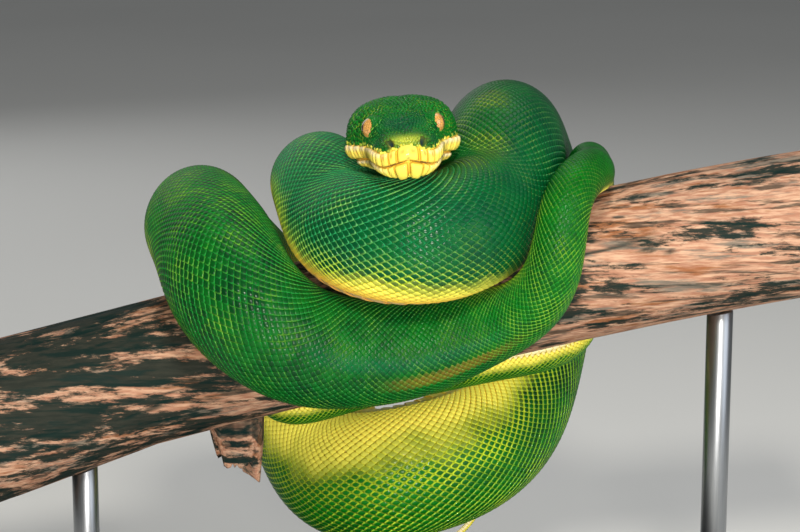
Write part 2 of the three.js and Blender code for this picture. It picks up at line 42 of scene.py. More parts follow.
# Route of the body, with the same points and girth as the solids, in mm.
perch = {"height": 150.0, "radius": 28.0, "halfLength": 180.0, "slope": 0.262,
         "droop": 0.0003, "swellFrom": -100.0, "swell": 4.2}
head = {"snout": (3, -84, 69), "length": 54.0, "rearCentre": 3.2, "roll": 4.5, "yaw": -3.0}
route = {
    "nape": [(4, -19, 71), (4, -7, 66), (4, 8, 58), (4, 30, 49), (-1, 48, 41)],
    "leftHump": [(-11, 58, 36), (-23, 50, 37), (-29, 26, 43.5), (-30.5, 0, 49.5), (-27, -23, 51)],
    "frontRing": [(-18, -45, 46), (-9, -63, 39), (1, -75, 35), (12, -68, 40), (23, -51, 48)],
    "rightHump": [(34, -30, 58), (42, -4, 62), (47, 24, 57), (53, 50, 39)],
    "backLoop": [(55, 65, 14), (54, 60, -18), (43, 38, -45), (23, 22, -60), (-2, 12, -67.5),
         (-25, 17, -64), (-39, 35, -54), (-47, 62, -37), (-57, 71, -13)],
    "outerHump": [(-68, 48, 10), (-73.5, 18, 22), (-71.5, -10, 27), (-62, -36, 27.5),
         (-51, -54, 25)],
    "lowerRing": [(-35, -55, 9), (-17, -54, -1), (0, -52.5, -4), (19, -51, 0), (31, -50, 9),
         (39, -54, 22)],
    "thinHump": [(45, -60, 36), (50, -60, 47), (55, -52, 54), (60, -34, 58), (65, -10, 56),
         (69, 12, 50), (72, 28, 34), (72, 36, -3)],
    "underRun": [(71, 31, -15), (58, 24, -23), (36, 17, -25), (8, 15, -31), (-20, 15, -37),
         (-39, 17, -42)],
    "tail": [(-50, 32, -40), (-50, 40, -25), (-39, 44, -12), (-20, 50, -8), (0, 58, -18),
         (13, 64, -41), (22, 72, -65), (31, 84, -87), (35, 84, -102), (30, 80, -114),
         (13, 76, -121), (-3, 74, -125), (-12, 72, -117)],
}
girthPairs = [(0, 11.4), (30, 11.6), (90, 14.2), (135, 16.6), (175, 18.8), (215, 21.8),
              (255, 23.1), (300, 23.2), (410, 24.2), (470, 26), (560, 26.8), (620, 26.2),
              (690, 23.6), (730, 21.8), (765, 22.0), (805, 24.2), (840, 22.8), (875, 19.8),
              (915, 14.0), (950, 10.2), (985, 8.8), (1030, 8.6), (1130, 8.4), (1230, 7.2),
              (1330, 5.2), (1410, 3.4), (1470, 1.2)]
rollPairs = [(0, 0), (120, 0), (185, -30), (225, -50), (258, -20), (290, 15), (315, 25),
             (360, 0), (430, 20), (500, 60), (590, 60), (650, 30), (710, 0), (1500, 0)]
coil = {"step": 5.0, "clearance": 0.8, "ridge": 0.03, "bellyHalfArc": 46.0, "coatDepth": 0.4}

# Head outline: distance back from the snout, then the value there, in mm.
halfWidthPairs = [(0, 7.4), (4, 10.4), (10, 12), (16, 12.4), (21, 13.3), (26, 15.8),
                  (31, 18.5), (37, 19.8), (42, 19.5), (49, 16), (54, 12)]
topPairs = [(0, 6.6), (4, 9.8), (10, 11.6), (16, 13.8), (22, 16.6), (30, 18.8), (38, 19.4),
            (45, 18.2), (54, 14)]
chinPairs = [(0, 3.4), (4, 4.6), (12, 5.3), (22, 6.2), (32, 7), (42, 7.6), (54, 7.6)]
widestPairs = [(0, 3.2), (10, 3.5), (20, 4), (30, 4.5), (40, 4.2), (54, 3.2)]
boxinessPairs = [(0, 2.3), (20, 2.45), (38, 2.3), (54, 2.1)]
nose = {"length": 5.0, "bluntness": 2.6}


def along(pairs, at):
    xs, ys = zip(*pairs)
    return np.interp(at, xs, ys)


def smoothAlong(pairs, at):
    reach = 2.2
    return (along(pairs, at - reach) + 2 * along(pairs, at) + along(pairs, at + reach)) / 4


def smoothStep(low, high, value):
    t = np.clip((value - low) / (high - low), 0, 1)
    return t * t * (3 - 2 * t)


# Rises from 0 at start to 1 at full, and falls from 1 at fade to 0 at end.
def within(value, start, full, fade, end):
    return smoothStep(start, full, value) * smoothStep(end, fade, value)


def unit(v):
    return v / np.maximum(np.linalg.norm(v, axis=-1, keepdims=True), 1e-12)


def lengthAlong(points):
    return np.r_[0, np.cumsum(np.linalg.norm(np.diff(points, axis=0), axis=1))]


def signedDegrees(angle):
    return np.degrees((angle + np.pi) % (2 * np.pi) - np.pi)


def bothSides(place):
    return np.array([(side * place[0], *place[1:]) for side in (-1, 1)])


# A smooth curve from b to c that also heeds the points before and after them.
def curveBetween(a, b, c, d, t):
    return 0.5 * (2 * b + (c - a) * t + (2 * a - 5 * b + 4 * c - d) * t ** 2
                  + (3 * b - a - 3 * c + d) * t ** 3)


# Where holds(place) turns from true to false between low and high, found by halving.
def halved(low, high, holds):
    for _ in range(26):
        middle = (low + high) / 2
        held = holds(middle)
        low, high = np.where(held, middle, low), np.where(held, high, middle)
    return low


def perchSwell(x):
    share = (x - perch["swellFrom"]) / (-perch["halfLength"] - perch["swellFrom"])
    return perch["swell"] * np.maximum(share, 0)


def perchAxis(x):
    return perch["slope"] * x - perch["droop"] * x * np.maximum(x, 0) - perchSwell(x)


def perchTilt(x):
    return perchAxis(x + 0.5) - perchAxis(x - 0.5)


def headPlacement():
    place = Matrix.Translation(Vector(head["snout"]) + Vector((0, 0, perch["height"])))
    place = place @ Matrix.Rotation(-math.radians(head["yaw"]), 4, "Z")
    return np.array(place @ Matrix.Rotation(-math.radians(head["roll"]), 4, "Y"))


headPlace = headPlacement()


def headToWorld(points):
    return points @ headPlace[:3, :3].T + headPlace[:3, 3]


def turnToWorld(vectors):
    return vectors @ headPlace[:3, :3].T


# Points at even steps along a smooth curve through the given ones.
def evenSpacing(points):
    points = np.asarray(points, float)
    padded = np.vstack([2 * points[0] - points[1], points, 2 * points[-1] - points[-2]])

    def at(u):
        i = np.minimum(u.astype(int), len(points) - 2)
        return curveBetween(*(padded[i + k] for k in range(4)), (u - i)[:, None])

    steps = np.linspace(0, len(points) - 1, len(points) * 24 + 1)
    length = lengthAlong(at(steps))
    count = int(math.floor(length[-1] / coil["step"] + 0.5))
    return at(np.interp(np.linspace(0, length[-1], count + 1), length, steps))


def girthAt(distance):
    offsets = np.arange(-4, 5) * coil["step"]
    spread = np.maximum(np.asarray(distance, float)[..., None] + offsets, 0)
    return along(girthPairs, spread).mean(axis=-1)


def headBalls():
    balls = []
    for back in range(6, int(head["length"]), 4):
        side = along([(0, 2), (10, 4), (26, 6), (42, 10.5), (54, 0)], back)
        radius = along([(0, 4), (6, 6), (26, 8.5), (42, 10), (54, 11.4)], back)
        height = along([(0, 1.5), (26, 2.5), (54, 3.8)], back)
        for sign in ((-1, 1) if side > 1 else (0,)):
            balls.append((*headToWorld(np.array([sign * side, back, height])), radius))
    return np.array(balls)


# Settles the middle line so that the coils press together without passing through.
def settle(points, rounds, pull, fairing):
    points = points.copy()
    start = points.copy()
    radii = girthAt(np.arange(len(points)) * coil["step"])
    balls = headBalls()
    first, second = np.triu_indices(len(points), 1)
    reach = radii[first] + radii[second]
    apartEnough = (second - first) * coil["step"] > reach * 1.6
    first, second, reach = first[apartEnough], second[apartEnough], reach[apartEnough]
    for _ in range(rounds):
        bend = np.zeros_like(points)
        bend[1:-1] = (points[:-2] + points[2:]) / 2 - points[1:-1]
        change = np.zeros_like(points)
        change[1:-1] = (bend[:-2] + bend[2:]) / 2 - bend[1:-1]
        points[3:-1] -= fairing * change[3:-1]
        tight = np.linalg.norm(bend, axis=1) * 2 * radii / coil["step"] ** 2 > 0.9
        tight[:3] = tight[-1] = False
        points[tight] += 0.35 * bend[tight]
        points[3:] += pull * (start - points)[3:]
        for _ in range(2):
            pushCoilsApart(points, first, second, reach)
            clearHead(points, radii, balls)
            clearPerch(points, radii)
    return points


def pushCoilsApart(points, first, second, reach):
    apart = points[second] - points[first]
    distance = np.linalg.norm(apart, axis=1)
    lack = reach + coil["clearance"] - distance
    hit = lack > 0
    move = apart[hit] / distance[hit, None] * lack[hit, None] / 2
    push = np.zeros_like(points)
    count = np.zeros(len(points))
    for ends, sign in ((first[hit], -1), (second[hit], 1)):
        np.add.at(push, ends, sign * move)
        np.add.at(count, ends, 1)
    push[:3] = 0
    points += push * 1.5 / np.maximum(count, 1)[:, None]


def clearHead(points, radii, balls):
    apart = points[12:, None] - balls[None, :, :3]
    distance = np.linalg.norm(apart, axis=2)
    lack = radii[12:, None] + balls[:, 3] + coil["clearance"] - distance
    worst = lack.argmax(axis=1)
    rows = np.arange(len(worst))
    depth = np.maximum(lack[rows, worst], 0)
    points[12:] += apart[rows, worst] / distance[rows, worst][:, None] * depth[:, None]


def clearPerch(points, radii):
    tilt = perchTilt(points[:, 0])
    level = 1 / np.hypot(1, tilt)
    height = (points[:, 2] - perch["height"] - perchAxis(points[:, 0])) * level
    reach = np.hypot(height, points[:, 1])
    share = np.maximum(perch["radius"] + radii + coil["clearance"] - reach, 0) / reach
    share[:3] = 0
    points[:, 1] += points[:, 1] * share
    points[:, 2] += height * share * level
    points[:, 0] -= height * share * level * tilt


def middleLine():
    nape = headToWorld(np.array([0, head["length"] + 0.3, head["rearCentre"]]))
    laid = np.array([p for stretch in route.values() for p in stretch], float)
    laid[:, 2] += perch["height"]
    loose = settle(evenSpacing(np.vstack([nape, laid])), rounds=400, pull=0.03, fairing=0.25)
    return settle(evenSpacing(loose), rounds=200, pull=0, fairing=0.1)


def turned(vectors, axes, angles):
    c, s = np.cos(angles)[..., None], np.sin(angles)[..., None]
    onAxis = axes * (vectors * axes).sum(-1, keepdims=True)
    return vectors * c + np.cross(axes, vectors) * s + onAxis * (1 - c)


# Unit directions along the body and out of its back at each worked point.
def bodyFrames(points):
    last = len(points) - 1
    runs = np.array([points[min(i + 1, last)] - points[max(i - 1, 0)] for i in range(last + 1)])
    runs = unit(runs)
    headAxis = turnToWorld(np.array([0.0, 1.0, 0.0]))
    for i, share in enumerate((1, 0.6, 0.25)):
        runs[i] = unit(runs[i] * (1 - share) + headAxis * share)
    up = turnToWorld(np.array([0.0, 0.0, 1.0]))
    carried = [unit(up - runs[0] * up.dot(runs[0]))]
    for i in range(1, last + 1):
        turn = Vector(runs[i - 1]).rotation_difference(Vector(runs[i]))
        carried.append(np.array(turn @ Vector(carried[-1])))
    carried = np.array(carried)
    off = points.copy()
    off[:, 0] = 0
    off[:, 2] -= perch["height"] + perchAxis(points[:, 0])
    flat = off - runs * (off * runs).sum(1, keepdims=True)
    weights = 0.02 + (np.linalg.norm(flat, axis=1) / np.linalg.norm(off, axis=1)) ** 2
    side = np.cross(runs, carried)
    angles = np.unwrap(np.arctan2((flat * side).sum(1), (flat * carried).sum(1)))
    wanted = angles + np.radians(along(rollPairs, np.arange(last + 1) * coil["step"]))
    smooth = np.empty(last + 1)
    for i in range(last + 1):
        near = slice(max(i - 7, 0), min(i + 7, last) + 1)
        smooth[i] = (wanted[near] * weights[near]).sum() / weights[near].sum()
    smooth *= np.minimum(np.arange(last + 1) / 8, 1)
    return runs, turned(carried, runs, smooth)


spinePoints = middleLine()
spineRuns, spineBacks = bodyFrames(spinePoints)
bodyEnd = (len(spinePoints) - 1) * coil["step"]
print("middle line settled, body", round(bodyEnd), "mm behind the head")


def spineAt(distance):
    last = len(spinePoints) - 1
    place = np.clip(np.asarray(distance, float) / coil["step"], 0, last - 0.001)
    i = place.astype(int)
    t = (place - i)[..., None]
    near = (spinePoints[np.clip(i + k, 0, last)] for k in (-1, 0, 1, 2))
    at = curveBetween(*near, t)
    run = unit(spineRuns[i] * (1 - t) + spineRuns[i + 1] * t)
    back = spineBacks[i] * (1 - t) + spineBacks[i + 1] * t
    back = unit(back - run * (back * run).sum(-1, keepdims=True))
    return at, run, back, np.cross(back, run)


# Surfaces: angle 0 is the middle of the back, turning towards the right flank.
def headSection(back):
    blunt = nose["bluntness"]
    share = 1 - np.minimum(back, nose["length"]) / nose["length"]
    rounding = np.where(back >= nose["length"], 1, (1 - np.abs(share) ** blunt) ** (1 / blunt))
    level = smoothAlong(widestPairs, back)
    return (level, smoothAlong(halfWidthPairs, back) * rounding,
            (smoothAlong(topPairs, back) - level) * rounding,
            (smoothAlong(chinPairs, back) + level) * rounding, smoothAlong(boxinessPairs, back))


# Distances back from the snout that follow its blunt tip in even steps.
def noseTip(u):
    blunt = nose["bluntness"]
    return nose["length"] * (1 - (1 - u ** blunt) ** (1 / blunt))


def headPoint(back, angle):
    level, width, above, below, power = headSection(back)
    c, s = -np.sin(angle), np.cos(angle)
    x = width * np.sign(c) * np.abs(c) ** (2 / power)
    z = np.where(s > 0, above, below) * np.sign(s) * np.abs(s) ** (2 / power)
    return np.stack([x, back + 0 * angle, level + z], axis=-1)


def headSide(back, height):
    level, width, above, below, power = headSection(back)
    share = np.abs(height - level) / np.where(height > level, above, below)
    return width * np.maximum(1 - share ** power, 0) ** (1 / power)


# Soft swellings and hollows of the face: place, reach and height in mm, on both sides.
faceForms = [
    {"at": (9.5, 18.0, 15.0), "reach": (3.0, 5.0, 2.6), "height": 1.1},    # brow over the eye
    {"at": (12.4, 20.4, 10.9), "reach": (3.2, 2.9, 3.2), "height": -1.1},  # eye socket
    {"at": (10.4, 16.2, 10.8), "reach": (2.4, 2.2, 3.4), "height": 1.5},   # rim before the eye
    {"at": (10.8, 11.5, 8.5), "reach": (3.0, 3.4, 2.6), "height": -1.0},   # hollow before the eye
    {"at": (5.2, 3.0, 9.4), "reach": (2.6, 3.2, 2.2), "height": 0.7},      # swelling by the nostril
    {"at": (0.0, 15.0, 13.5), "reach": (3.4, 7.0, 4.0), "height": -0.9},   # between the brows
    {"at": (0.0, 34.0, 19.0), "reach": (2.6, 10.0, 5.0), "height": -0.5},  # between the temples
    {"at": (13.5, 34.0, 13.5), "reach": (5.0, 7.0, 5.0), "height": 0.8},   # temple muscle
    {"at": (19.5, 38.0, 1.5), "reach": (4.0, 7.0, 3.2), "height": 0.7},    # swollen rear lip
    {"at": (14.0, 26.0, 0.5), "reach": (3.0, 4.0, 3.0), "height": -0.6},   # pinch under the eye
]


def faceRelief(points):
    relief = np.zeros(points.shape[:-1])
    for form in faceForms:
        for side in ((-1, 1) if form["at"][0] else (1,)):
            centre = np.array(form["at"]) * (side, 1, 1)
            gap = (points - centre) / np.array(form["reach"])
            relief += form["height"] * np.exp(-(gap ** 2).sum(-1) / 1.2)
    return relief


def headSurface(back, angle):
    base = headPoint(back, angle)
    step = 0.02
    acrossWay = headPoint(back, angle + step) - headPoint(back, angle - step)
    alongWay = headPoint(back + step, angle) - headPoint(np.maximum(back - step, 0.001), angle)
    normal = unit(np.cross(alongWay, acrossWay))
    outward = base - np.stack([0 * back, back + 2, headSection(back)[0]], axis=-1)
    normal *= np.sign((normal * outward).sum(-1, keepdims=True))
    return headToWorld(base + normal * faceRelief(base)[..., None])


# Distance along is measured from the nape; the head lies at distances below 0.
def bodySurface(distance, angle, raised=0.0):
    at, _, back, side = spineAt(distance)
    c, s = np.cos(angle), np.sin(angle)
    neckShare = np.maximum(1 - distance / 60, 0)
    fromBelly = 180 - np.abs(signedDegrees(angle))
    hollow = 0.03 * smoothStep(coil["bellyHalfArc"] + 4, coil["bellyHalfArc"] - 6, fromBelly)
    shape = 1 - coil["ridge"] * (1 - np.cos(3 * angle)) / 2
    reach = girthAt(distance) * (shape - hollow) + raised
    up, out = c * reach * (1 - 0.05 * neckShare), s * reach * (1 + 0.04 * neckShare)
    tube = at + back * up[..., None] + side * out[..., None]
    share = smoothStep(28, 0, distance)
    if np.any(share > 0):
        section = headPoint(np.full_like(distance, head["length"]), angle)
        section = section * (1, 0, 1) - np.array([0, 0, head["rearCentre"]])
        size = girthAt(distance) / girthAt(np.zeros(1))[0]
        up, out = section[..., 2] * size + raised * c, -section[..., 0] * size + raised * s
        match = at + back * up[..., None] + side * out[..., None]
        tube = tube * (1 - share[..., None]) + match * share[..., None]
    return tube


def surface(distance, angle):
    distance, angle = np.broadcast_arrays(np.asarray(distance, float), np.asarray(angle, float))
    onBody = bodySurface(np.maximum(distance, 0.0), angle)
    onHead = headSurface(np.clip(distance + head["length"], 0.001, head["length"]), angle)
    return np.where((distance < 0)[..., None], onHead, onBody)


def surfaceFrame(distance, angle):
    step, turn = 0.4, 0.01
    alongWay = (surface(distance + step, angle) - surface(distance - step, angle)) / (2 * step)
    acrossWay = (surface(distance, angle + turn) - surface(distance, angle - turn)) / (2 * turn)
    return surface(distance, angle), alongWay, acrossWay, unit(np.cross(acrossWay, alongWay))


# Turns the normals away from the middle of the body, or of the head where distance is below 0.
def facingOut(point, normal, distance, ahead=0.0):
    core = np.stack([0 * distance, distance + head["length"] + ahead, 0 * distance + 4], axis=-1)
    centre = np.where((distance < 0)[..., None], headToWorld(core),
                      spineAt(np.maximum(distance, 0))[0])
    return normal * np.sign(((point - centre) * normal).sum(-1, keepdims=True))


# Markings: how yellow, how dark and how blue each place is, from 0 to 1.
markings = {
    # distance along, angle from the back where yellow starts and where it is full
    "yellowStart": [(0, 116), (150, 118), (218, 112), (242, 92), (275, 89), (300, 101),
                    (320, 110), (400, 100), (460, 94), (500, 88), (540, 62), (600, 48), (640, 64),
                    (700, 100), (900, 112), (960, 100), (1080, 98), (1180, 94), (1300, 82),
                    (1500, 66)],
    "yellowFull": [(0, 140), (215, 140), (245, 124), (275, 121), (300, 131), (340, 140),
                   (430, 136), (500, 128), (540, 108), (600, 94), (660, 126), (900, 140),
                   (1080, 130), (1180, 130), (1500, 110)],
    # Near 500 mm along, dark is raised and yellow held back to paint the shade on the right side of
    # the back loop.
    "dark": [(-60, 0.5), (0, 0.6), (100, 0.75), (180, 0.65), (300, 0.75), (350, 0.85), (430, 0.8),
             (500, 0.75), (550, 0.35), (640, 0.3), (720, 0.75), (800, 0.85), (900, 0.6),
             (960, 0.5), (1500, 0.3)],
    "netYellow": [(-60, 0.1), (0, 0.05), (120, 0.12), (200, 0.03), (300, 0.08), (420, 0.15),
                  (500, 0.25), (560, 0.6), (640, 0.6), (720, 0.12), (800, 0.05), (880, 0.05),
                  (950, 0.2), (1180, 0.2), (1500, 0.5)],
    "blue": [(-60, 0.15), (0, 0.25), (100, 0.3), (170, 0.55), (290, 0.55), (360, 0.4), (430, 0.2),
             (500, 0.05), (760, 0.0), (850, 0.15), (960, 0.05), (1500, 0)],
    # distances along where a marking starts, is full, starts to fade and ends
    "mottledRun": (250, 290, 350, 390), "lineRun": (835, 865, 905, 940),
    "amberRun": (195, 225, 285, 310), "plainBellyRun": (470, 510, 640, 670),
}


def blotches(distance, angle, size, seed):
    x, y = distance / size, angle * girthAt(np.maximum(distance, 0)) / size
    value = np.zeros(np.shape(x))
    for k in range(5):
        turn = seed + 2.4 * k
        value += np.sin(x * math.cos(turn) * (1 + 0.37 * k) + y * math.sin(turn) * (1 + 0.29 * k)
                        + 1.7 * seed * k)
    return value / 5


def bodyMarkings(distance, angle):
    signed = signedDegrees(angle)
    fromBack = np.abs(signed)
    yellowStart, yellowFull, dark, netYellow, blue = (
        along(markings[key], distance)
        for key in ("yellowStart", "yellowFull", "dark", "netYellow", "blue"))
    mottledRun, lineRun, amberRun = (within(distance, *markings[key])
                                     for key in ("mottledRun", "lineRun", "amberRun"))
    wander = 10 * blotches(distance, angle, 9, 1.3) + 7 * blotches(distance, angle, 3.4, 6.2)
    pale = smoothStep(yellowStart, yellowFull, fromBack + wander)
    inner = smoothStep(0, 25, signed) * mottledRun
    mottle = smoothStep(-0.1, 0.35, blotches(distance, angle, 7, 2.2))
    dark = dark * (1 + 0.5 * blotches(distance, angle, 6, 4.1)) * (1 - pale)
    netYellow = (netYellow + inner * (0.1 + 0.4 * mottle) + 0.22 * blotches(distance, angle, 5, 2.2)
                 + 0.6 * smoothStep(yellowStart - 30, yellowStart + 5, fromBack))
    line = 0.55 * smoothStep(13, 4, fromBack) * lineRun
    fawn = within(signed, -38, -30, -20, -14) * smoothStep(872, 890, distance) * lineRun
    blue = blue * (1 - 0.5 * inner) * (1 - pale)
    amber = 0.5 * smoothStep(112, 132, fromBack) * amberRun
    return {"pale": pale, "dark": np.clip(dark * (1 - 0.25 * inner), 0, 1),
            "netYellow": np.maximum(np.clip(netYellow, 0, 1), pale),
            "blue": np.clip(np.maximum(blue, line), 0, 1),
            "blush": 0.16 * fawn + amber + 0.02 * inner * mottle * (1 - pale)}


print("surfaces and markings ready")


# The head in its own frame: lips, eyes, nostrils and their places, in mm.
mouthFrontPairs = [(0, 1.8), (4.5, 0.8), (8.3, -0.5), (12, 0.6)]
mouthFallPairs = [(16, 0), (24, -0.9), (38, -3.1), (43, -3.4)]
lips = {"corner": 43.0, "tall": [(0, 5.2), (8, 4.8), (20, 4.4), (28, 5.2), (38, 6.0), (43, 5.6)]}
eye = {"radius": 3.8, "at": (10.7, 20.4, 10.9), "axis": (0.9, -0.38, 0.2),
       "rings": 40, "around": 56, "slitHalf": 0.13, "slitTall": 0.72,
       "slitSoft": 0.06}
nostril = {"side": 7.0, "up": 8.9, "halfWidth": 0.9, "halfHeight": 1.6, "depth": 1.6}


def mouthHeight(side, back):
    side = np.abs(side)
    front = (along(mouthFrontPairs, side - 0.7) + 2 * along(mouthFrontPairs, side)
             + along(mouthFrontPairs, side + 0.7)) / 4
    return front + smoothAlong(mouthFallPairs, back)


# Below 1 inside the head, 1 on its surface.
def headLevel(p):
    back = np.maximum(p[..., 1], 1e-3)
    level, width, above, below, power = headSection(back)
    x = np.abs(p[..., 0]) / np.maximum(width, 1e-6)
    z = np.abs(p[..., 2] - level) / np.maximum(np.where(p[..., 2] > level, above, below), 1e-6)
    return np.where(p[..., 1] <= 0, 1e3, np.minimum(x ** power + z ** power, 1e3))


def headNormal(p):
    step = 0.12
    slope = [headLevel(p + step * e) - headLevel(p - step * e) for e in np.eye(3)]
    return unit(np.stack([np.clip(s, -5, 5) for s in slope], axis=-1))


# The place on the head straight out from its core through each point, with its normal.
def ontoHead(p):
    core = np.stack([0 * p[..., 0], np.clip(p[..., 1], 9, 50), 0 * p[..., 0] + 4], axis=-1)
    way = unit(p - core)
    reach = halved(np.zeros(p.shape[:-1]), np.full(p.shape[:-1], 32.0),
                   lambda out: headLevel(core + way * out[..., None]) < 1)
    at = core + way * reach[..., None]
    normal = headNormal(at)
    return at + normal * faceRelief(at)[..., None], normal


nostrils = ontoHead(bothSides((nostril["side"], 0.8, nostril["up"])))[0]
eyeCentres, eyeAxes = bothSides(eye["at"]), unit(bothSides(eye["axis"]))


# Below 1 inside the rim of either nostril.
def nearNostril(p, margin=0.0):
    reach = (nostril["halfWidth"] + margin, 6, nostril["halfHeight"] + margin)
    return np.linalg.norm((p[..., None, :] - nostrils) / reach, axis=-1).min(axis=-1)


def spot(p, at, reach):
    return np.exp(-(((p - np.array(at)) / np.array(reach)) ** 2).sum(-1))


def headMarkings(p):
    across, back, height = p[..., 0], p[..., 1], p[..., 2]
    folded = np.stack([np.abs(across), back, height], axis=-1)
    mouth = mouthHeight(across, back)
    ragged = (0.45 * np.sin(2.1 * across + 1.3 * back)
              + 0.3 * np.sin(1.7 * back - 3.1 * across + 1))
    lipTop = mouth + along(lips["tall"], back)
    edge = lipTop + (-1.5 - lipTop) * smoothStep(40, 50, back)
    brow = spot(folded, (0, 15, 13), (8, 6, 5))
    lore = spot(folded, (9.5, 9, 7), (4, 5, 3.5))
    bridge = spot(folded, (0, 2, 8.8), (5.5, 4, 1.7))
    arch = spot(folded, (5.6, 3.5, 11), (3, 3, 1.3)) + bridge
    temple = spot(folded, (15, 26, 12), (5, 7, 6))
    pale = np.maximum(smoothStep(0.9, -0.5, height - edge + ragged), 0.4 * bridge)
    mottle = blotches(back, 0.12 * across + 0.08 * height, 2.6, 3.7)
    dark = 0.28 + 0.5 * brow + 0.4 * lore - 0.4 * arch - 0.2 * temple + 0.35 * mottle
    netYellow = (0.1 + 0.75 * arch + 0.3 * temple - 0.2 * brow
                 + 0.25 * blotches(back, 0.1 * across, 3.1, 5.2))
    blue = 0.18 + 0.5 * brow + 0.3 * lore
    throat = smoothStep(-2, -5.5, height - mouth) * smoothStep(6, 12, back)
    return {"pale": pale, "dark": np.clip(dark, 0, 1) * (1 - pale),
            "netYellow": np.maximum(np.clip(netYellow, 0, 1), pale), "blue": blue * (1 - pale),
            "belly": throat * pale, "blush": 0 * pale}


def toHead(points):
    return (points - headPlace[:3, 3]) @ headPlace[:3, :3]


# The same markings serve the skin and every scale on it.
def markingsAt(distance, angle, points):
    fields = bodyMarkings(np.maximum(distance, 0), angle)
    fields["belly"] = (smoothStep(129, 140, np.abs(signedDegrees(angle)))
                       * (1 - within(distance, *markings["plainBellyRun"])))
    onHead = smoothStep(8, -3, distance)
    if np.any(onHead > 0):
        headFields = headMarkings(toHead(points))
        fields = {key: value * (1 - onHead) + headFields[key] * onHead
                  for key, value in fields.items()}
    return fields


# Makes each scale a little darker or yellower than its neighbours.
def vary(fields, seed, darkRange, netRange):
    random, count = np.random.default_rng(seed), len(fields["dark"])
    dark = np.clip(fields["dark"] + random.uniform(*darkRange, count), 0, 1)
    fields["dark"] = dark * (1 - fields["pale"])
    fields["netYellow"] = np.clip(fields["netYellow"] + random.uniform(*netRange, count), 0, 1)


# Rows of faces between rings of points, each ring with the same count.
def tubeFaces(rings, around):
    i = (np.arange(rings - 1) * around)[:, None]
    k = np.arange(around)[None, :]
    n = (k + 1) % around
    return np.stack([i + k, i + around + k, i + around + n, i + n], axis=-1).reshape(-1, 4)


def fanFaces(centre, start, around, backwards=False):
    k = np.arange(around)
    a, b = start + k, start + (k + 1) % around
    if backwards:
        a, b = b, a
    return np.stack([np.full(around, centre), a, b], axis=-1)


# Faces of a tube closed at both ends; the centres of the ends follow the rings.
def cappedFaces(rings, around):
    count = rings * around
    return [tubeFaces(rings, around),
            np.vstack([fanFaces(count, 0, around),
                       fanFaces(count + 1, count - around, around, True)])]


def closedTube(grid):
    points = np.vstack([grid.reshape(-1, 3), grid[0].mean(axis=0), grid[-1].mean(axis=0)])
    return points, cappedFaces(*grid.shape[:2])


def turnsRound(count):
    return np.arange(count) * 2 * np.pi / count


def signedVolume(points, faces):
    total = 0.0
    for group in faces:
        for k in range(1, group.shape[1] - 1):
            a, b, c = points[group[:, 0]], points[group[:, k]], points[group[:, k + 1]]
            total += (a * np.cross(b, c)).sum()
    return total


def setField(mesh, name, values, kind="FLOAT"):
    layer = mesh.attributes.new(name, kind, "POINT")
    layer.data.foreach_set("value" if kind == "FLOAT" else "vector",
                           np.asarray(values, np.float32).ravel())


def makeMesh(name, points, faces, fields=None, smooth=True):
    points = np.asarray(points, float)
    if signedVolume(points - points.mean(axis=0), faces) < 0:
        faces = [group[:, ::-1] for group in faces]
    counts = np.concatenate([np.full(len(group), group.shape[1]) for group in faces])
    corners = np.concatenate([group.ravel() for group in faces]).astype(np.int32)
    mesh = bpy.data.meshes.new(name)
    mesh.vertices.add(len(points))
    mesh.loops.add(len(corners))
    mesh.polygons.add(len(counts))
    mesh.vertices.foreach_set("co", (points * mm).astype(np.float32).ravel())
    mesh.polygons.foreach_set("loop_start", np.r_[0, np.cumsum(counts)[:-1]].astype(np.int32))
    mesh.loops.foreach_set("vertex_index", corners)
    mesh.update(calc_edges=True)
    mesh.polygons.foreach_set("use_smooth", np.full(len(counts), smooth))
    for field, values in (fields or {}).items():
        setField(mesh, field, values)
    mesh.validate()
    return mesh


def newObject(name, data):
    made = bpy.data.objects.new(name, data)
    bpy.context.scene.collection.objects.link(made)
    return made


def addPiece(name, mesh, material, replaced=()):
    piece = newObject(name, mesh)
    mesh.materials.clear()
    mesh.materials.append(material)
    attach(piece, "root")
    if replaced:
        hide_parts(*replaced)


# A bake map in which each scale is a small patch at the place of its root on the unrolled skin.
def addBakeMap(mesh, rootU, rootV, patchX, patchY):
    margin, patch = 0.004, 0.0015
    corner = np.empty(len(mesh.loops), np.int32)
    mesh.loops.foreach_get("vertex_index", corner)
    u, v = (margin + (1 - 2 * margin) * np.clip(root, 0, 1) + patch * offset
            for root, offset in ((rootU, patchX), (rootV, patchY)))
    layer = mesh.uv_layers.new(name="OFBake")
    layer.data.foreach_set("uv", np.stack([u, v], axis=-1)[corner].astype(np.float32).ravel())


def headMap(roots):
    return roots[:, 1] / 60, np.arctan2(-roots[:, 0], roots[:, 2] - 4) / (2 * np.pi) + 0.5


# Colours are written as sRGB hex and turned to linear here alone.
def linear(hexColor):
    channels = [int(hexColor[i:i + 2], 16) / 255 for i in (1, 3, 5)]
    return (*[c / 12.92 if c <= 0.04045 else ((c + 0.055) / 1.055) ** 2.4 for c in channels], 1)


def addNode(tree, kind, settings=None, inputs=None):
    node = tree.nodes.new(kind)
    for key, value in (settings or {}).items():
        setattr(node, key, value)
    for key, value in (inputs or {}).items():
        if isinstance(value, bpy.types.NodeSocket):
            tree.links.new(value, node.inputs[key])
        else:
            node.inputs[key].default_value = value
    return node


def newMaterial(name):
    material = bpy.data.materials.new(name)
    material.use_nodes = True
    material.node_tree.nodes.clear()
    return material, material.node_tree


# Colours given as text are sRGB hex.
def mixColors(tree, share, first, second):
    first, second = (linear(color) if isinstance(color, str) else color
                     for color in (first, second))
    inputs = {0: share, 6: first, 7: second}
    return addNode(tree, "ShaderNodeMix", {"data_type": "RGBA"}, inputs).outputs[2]


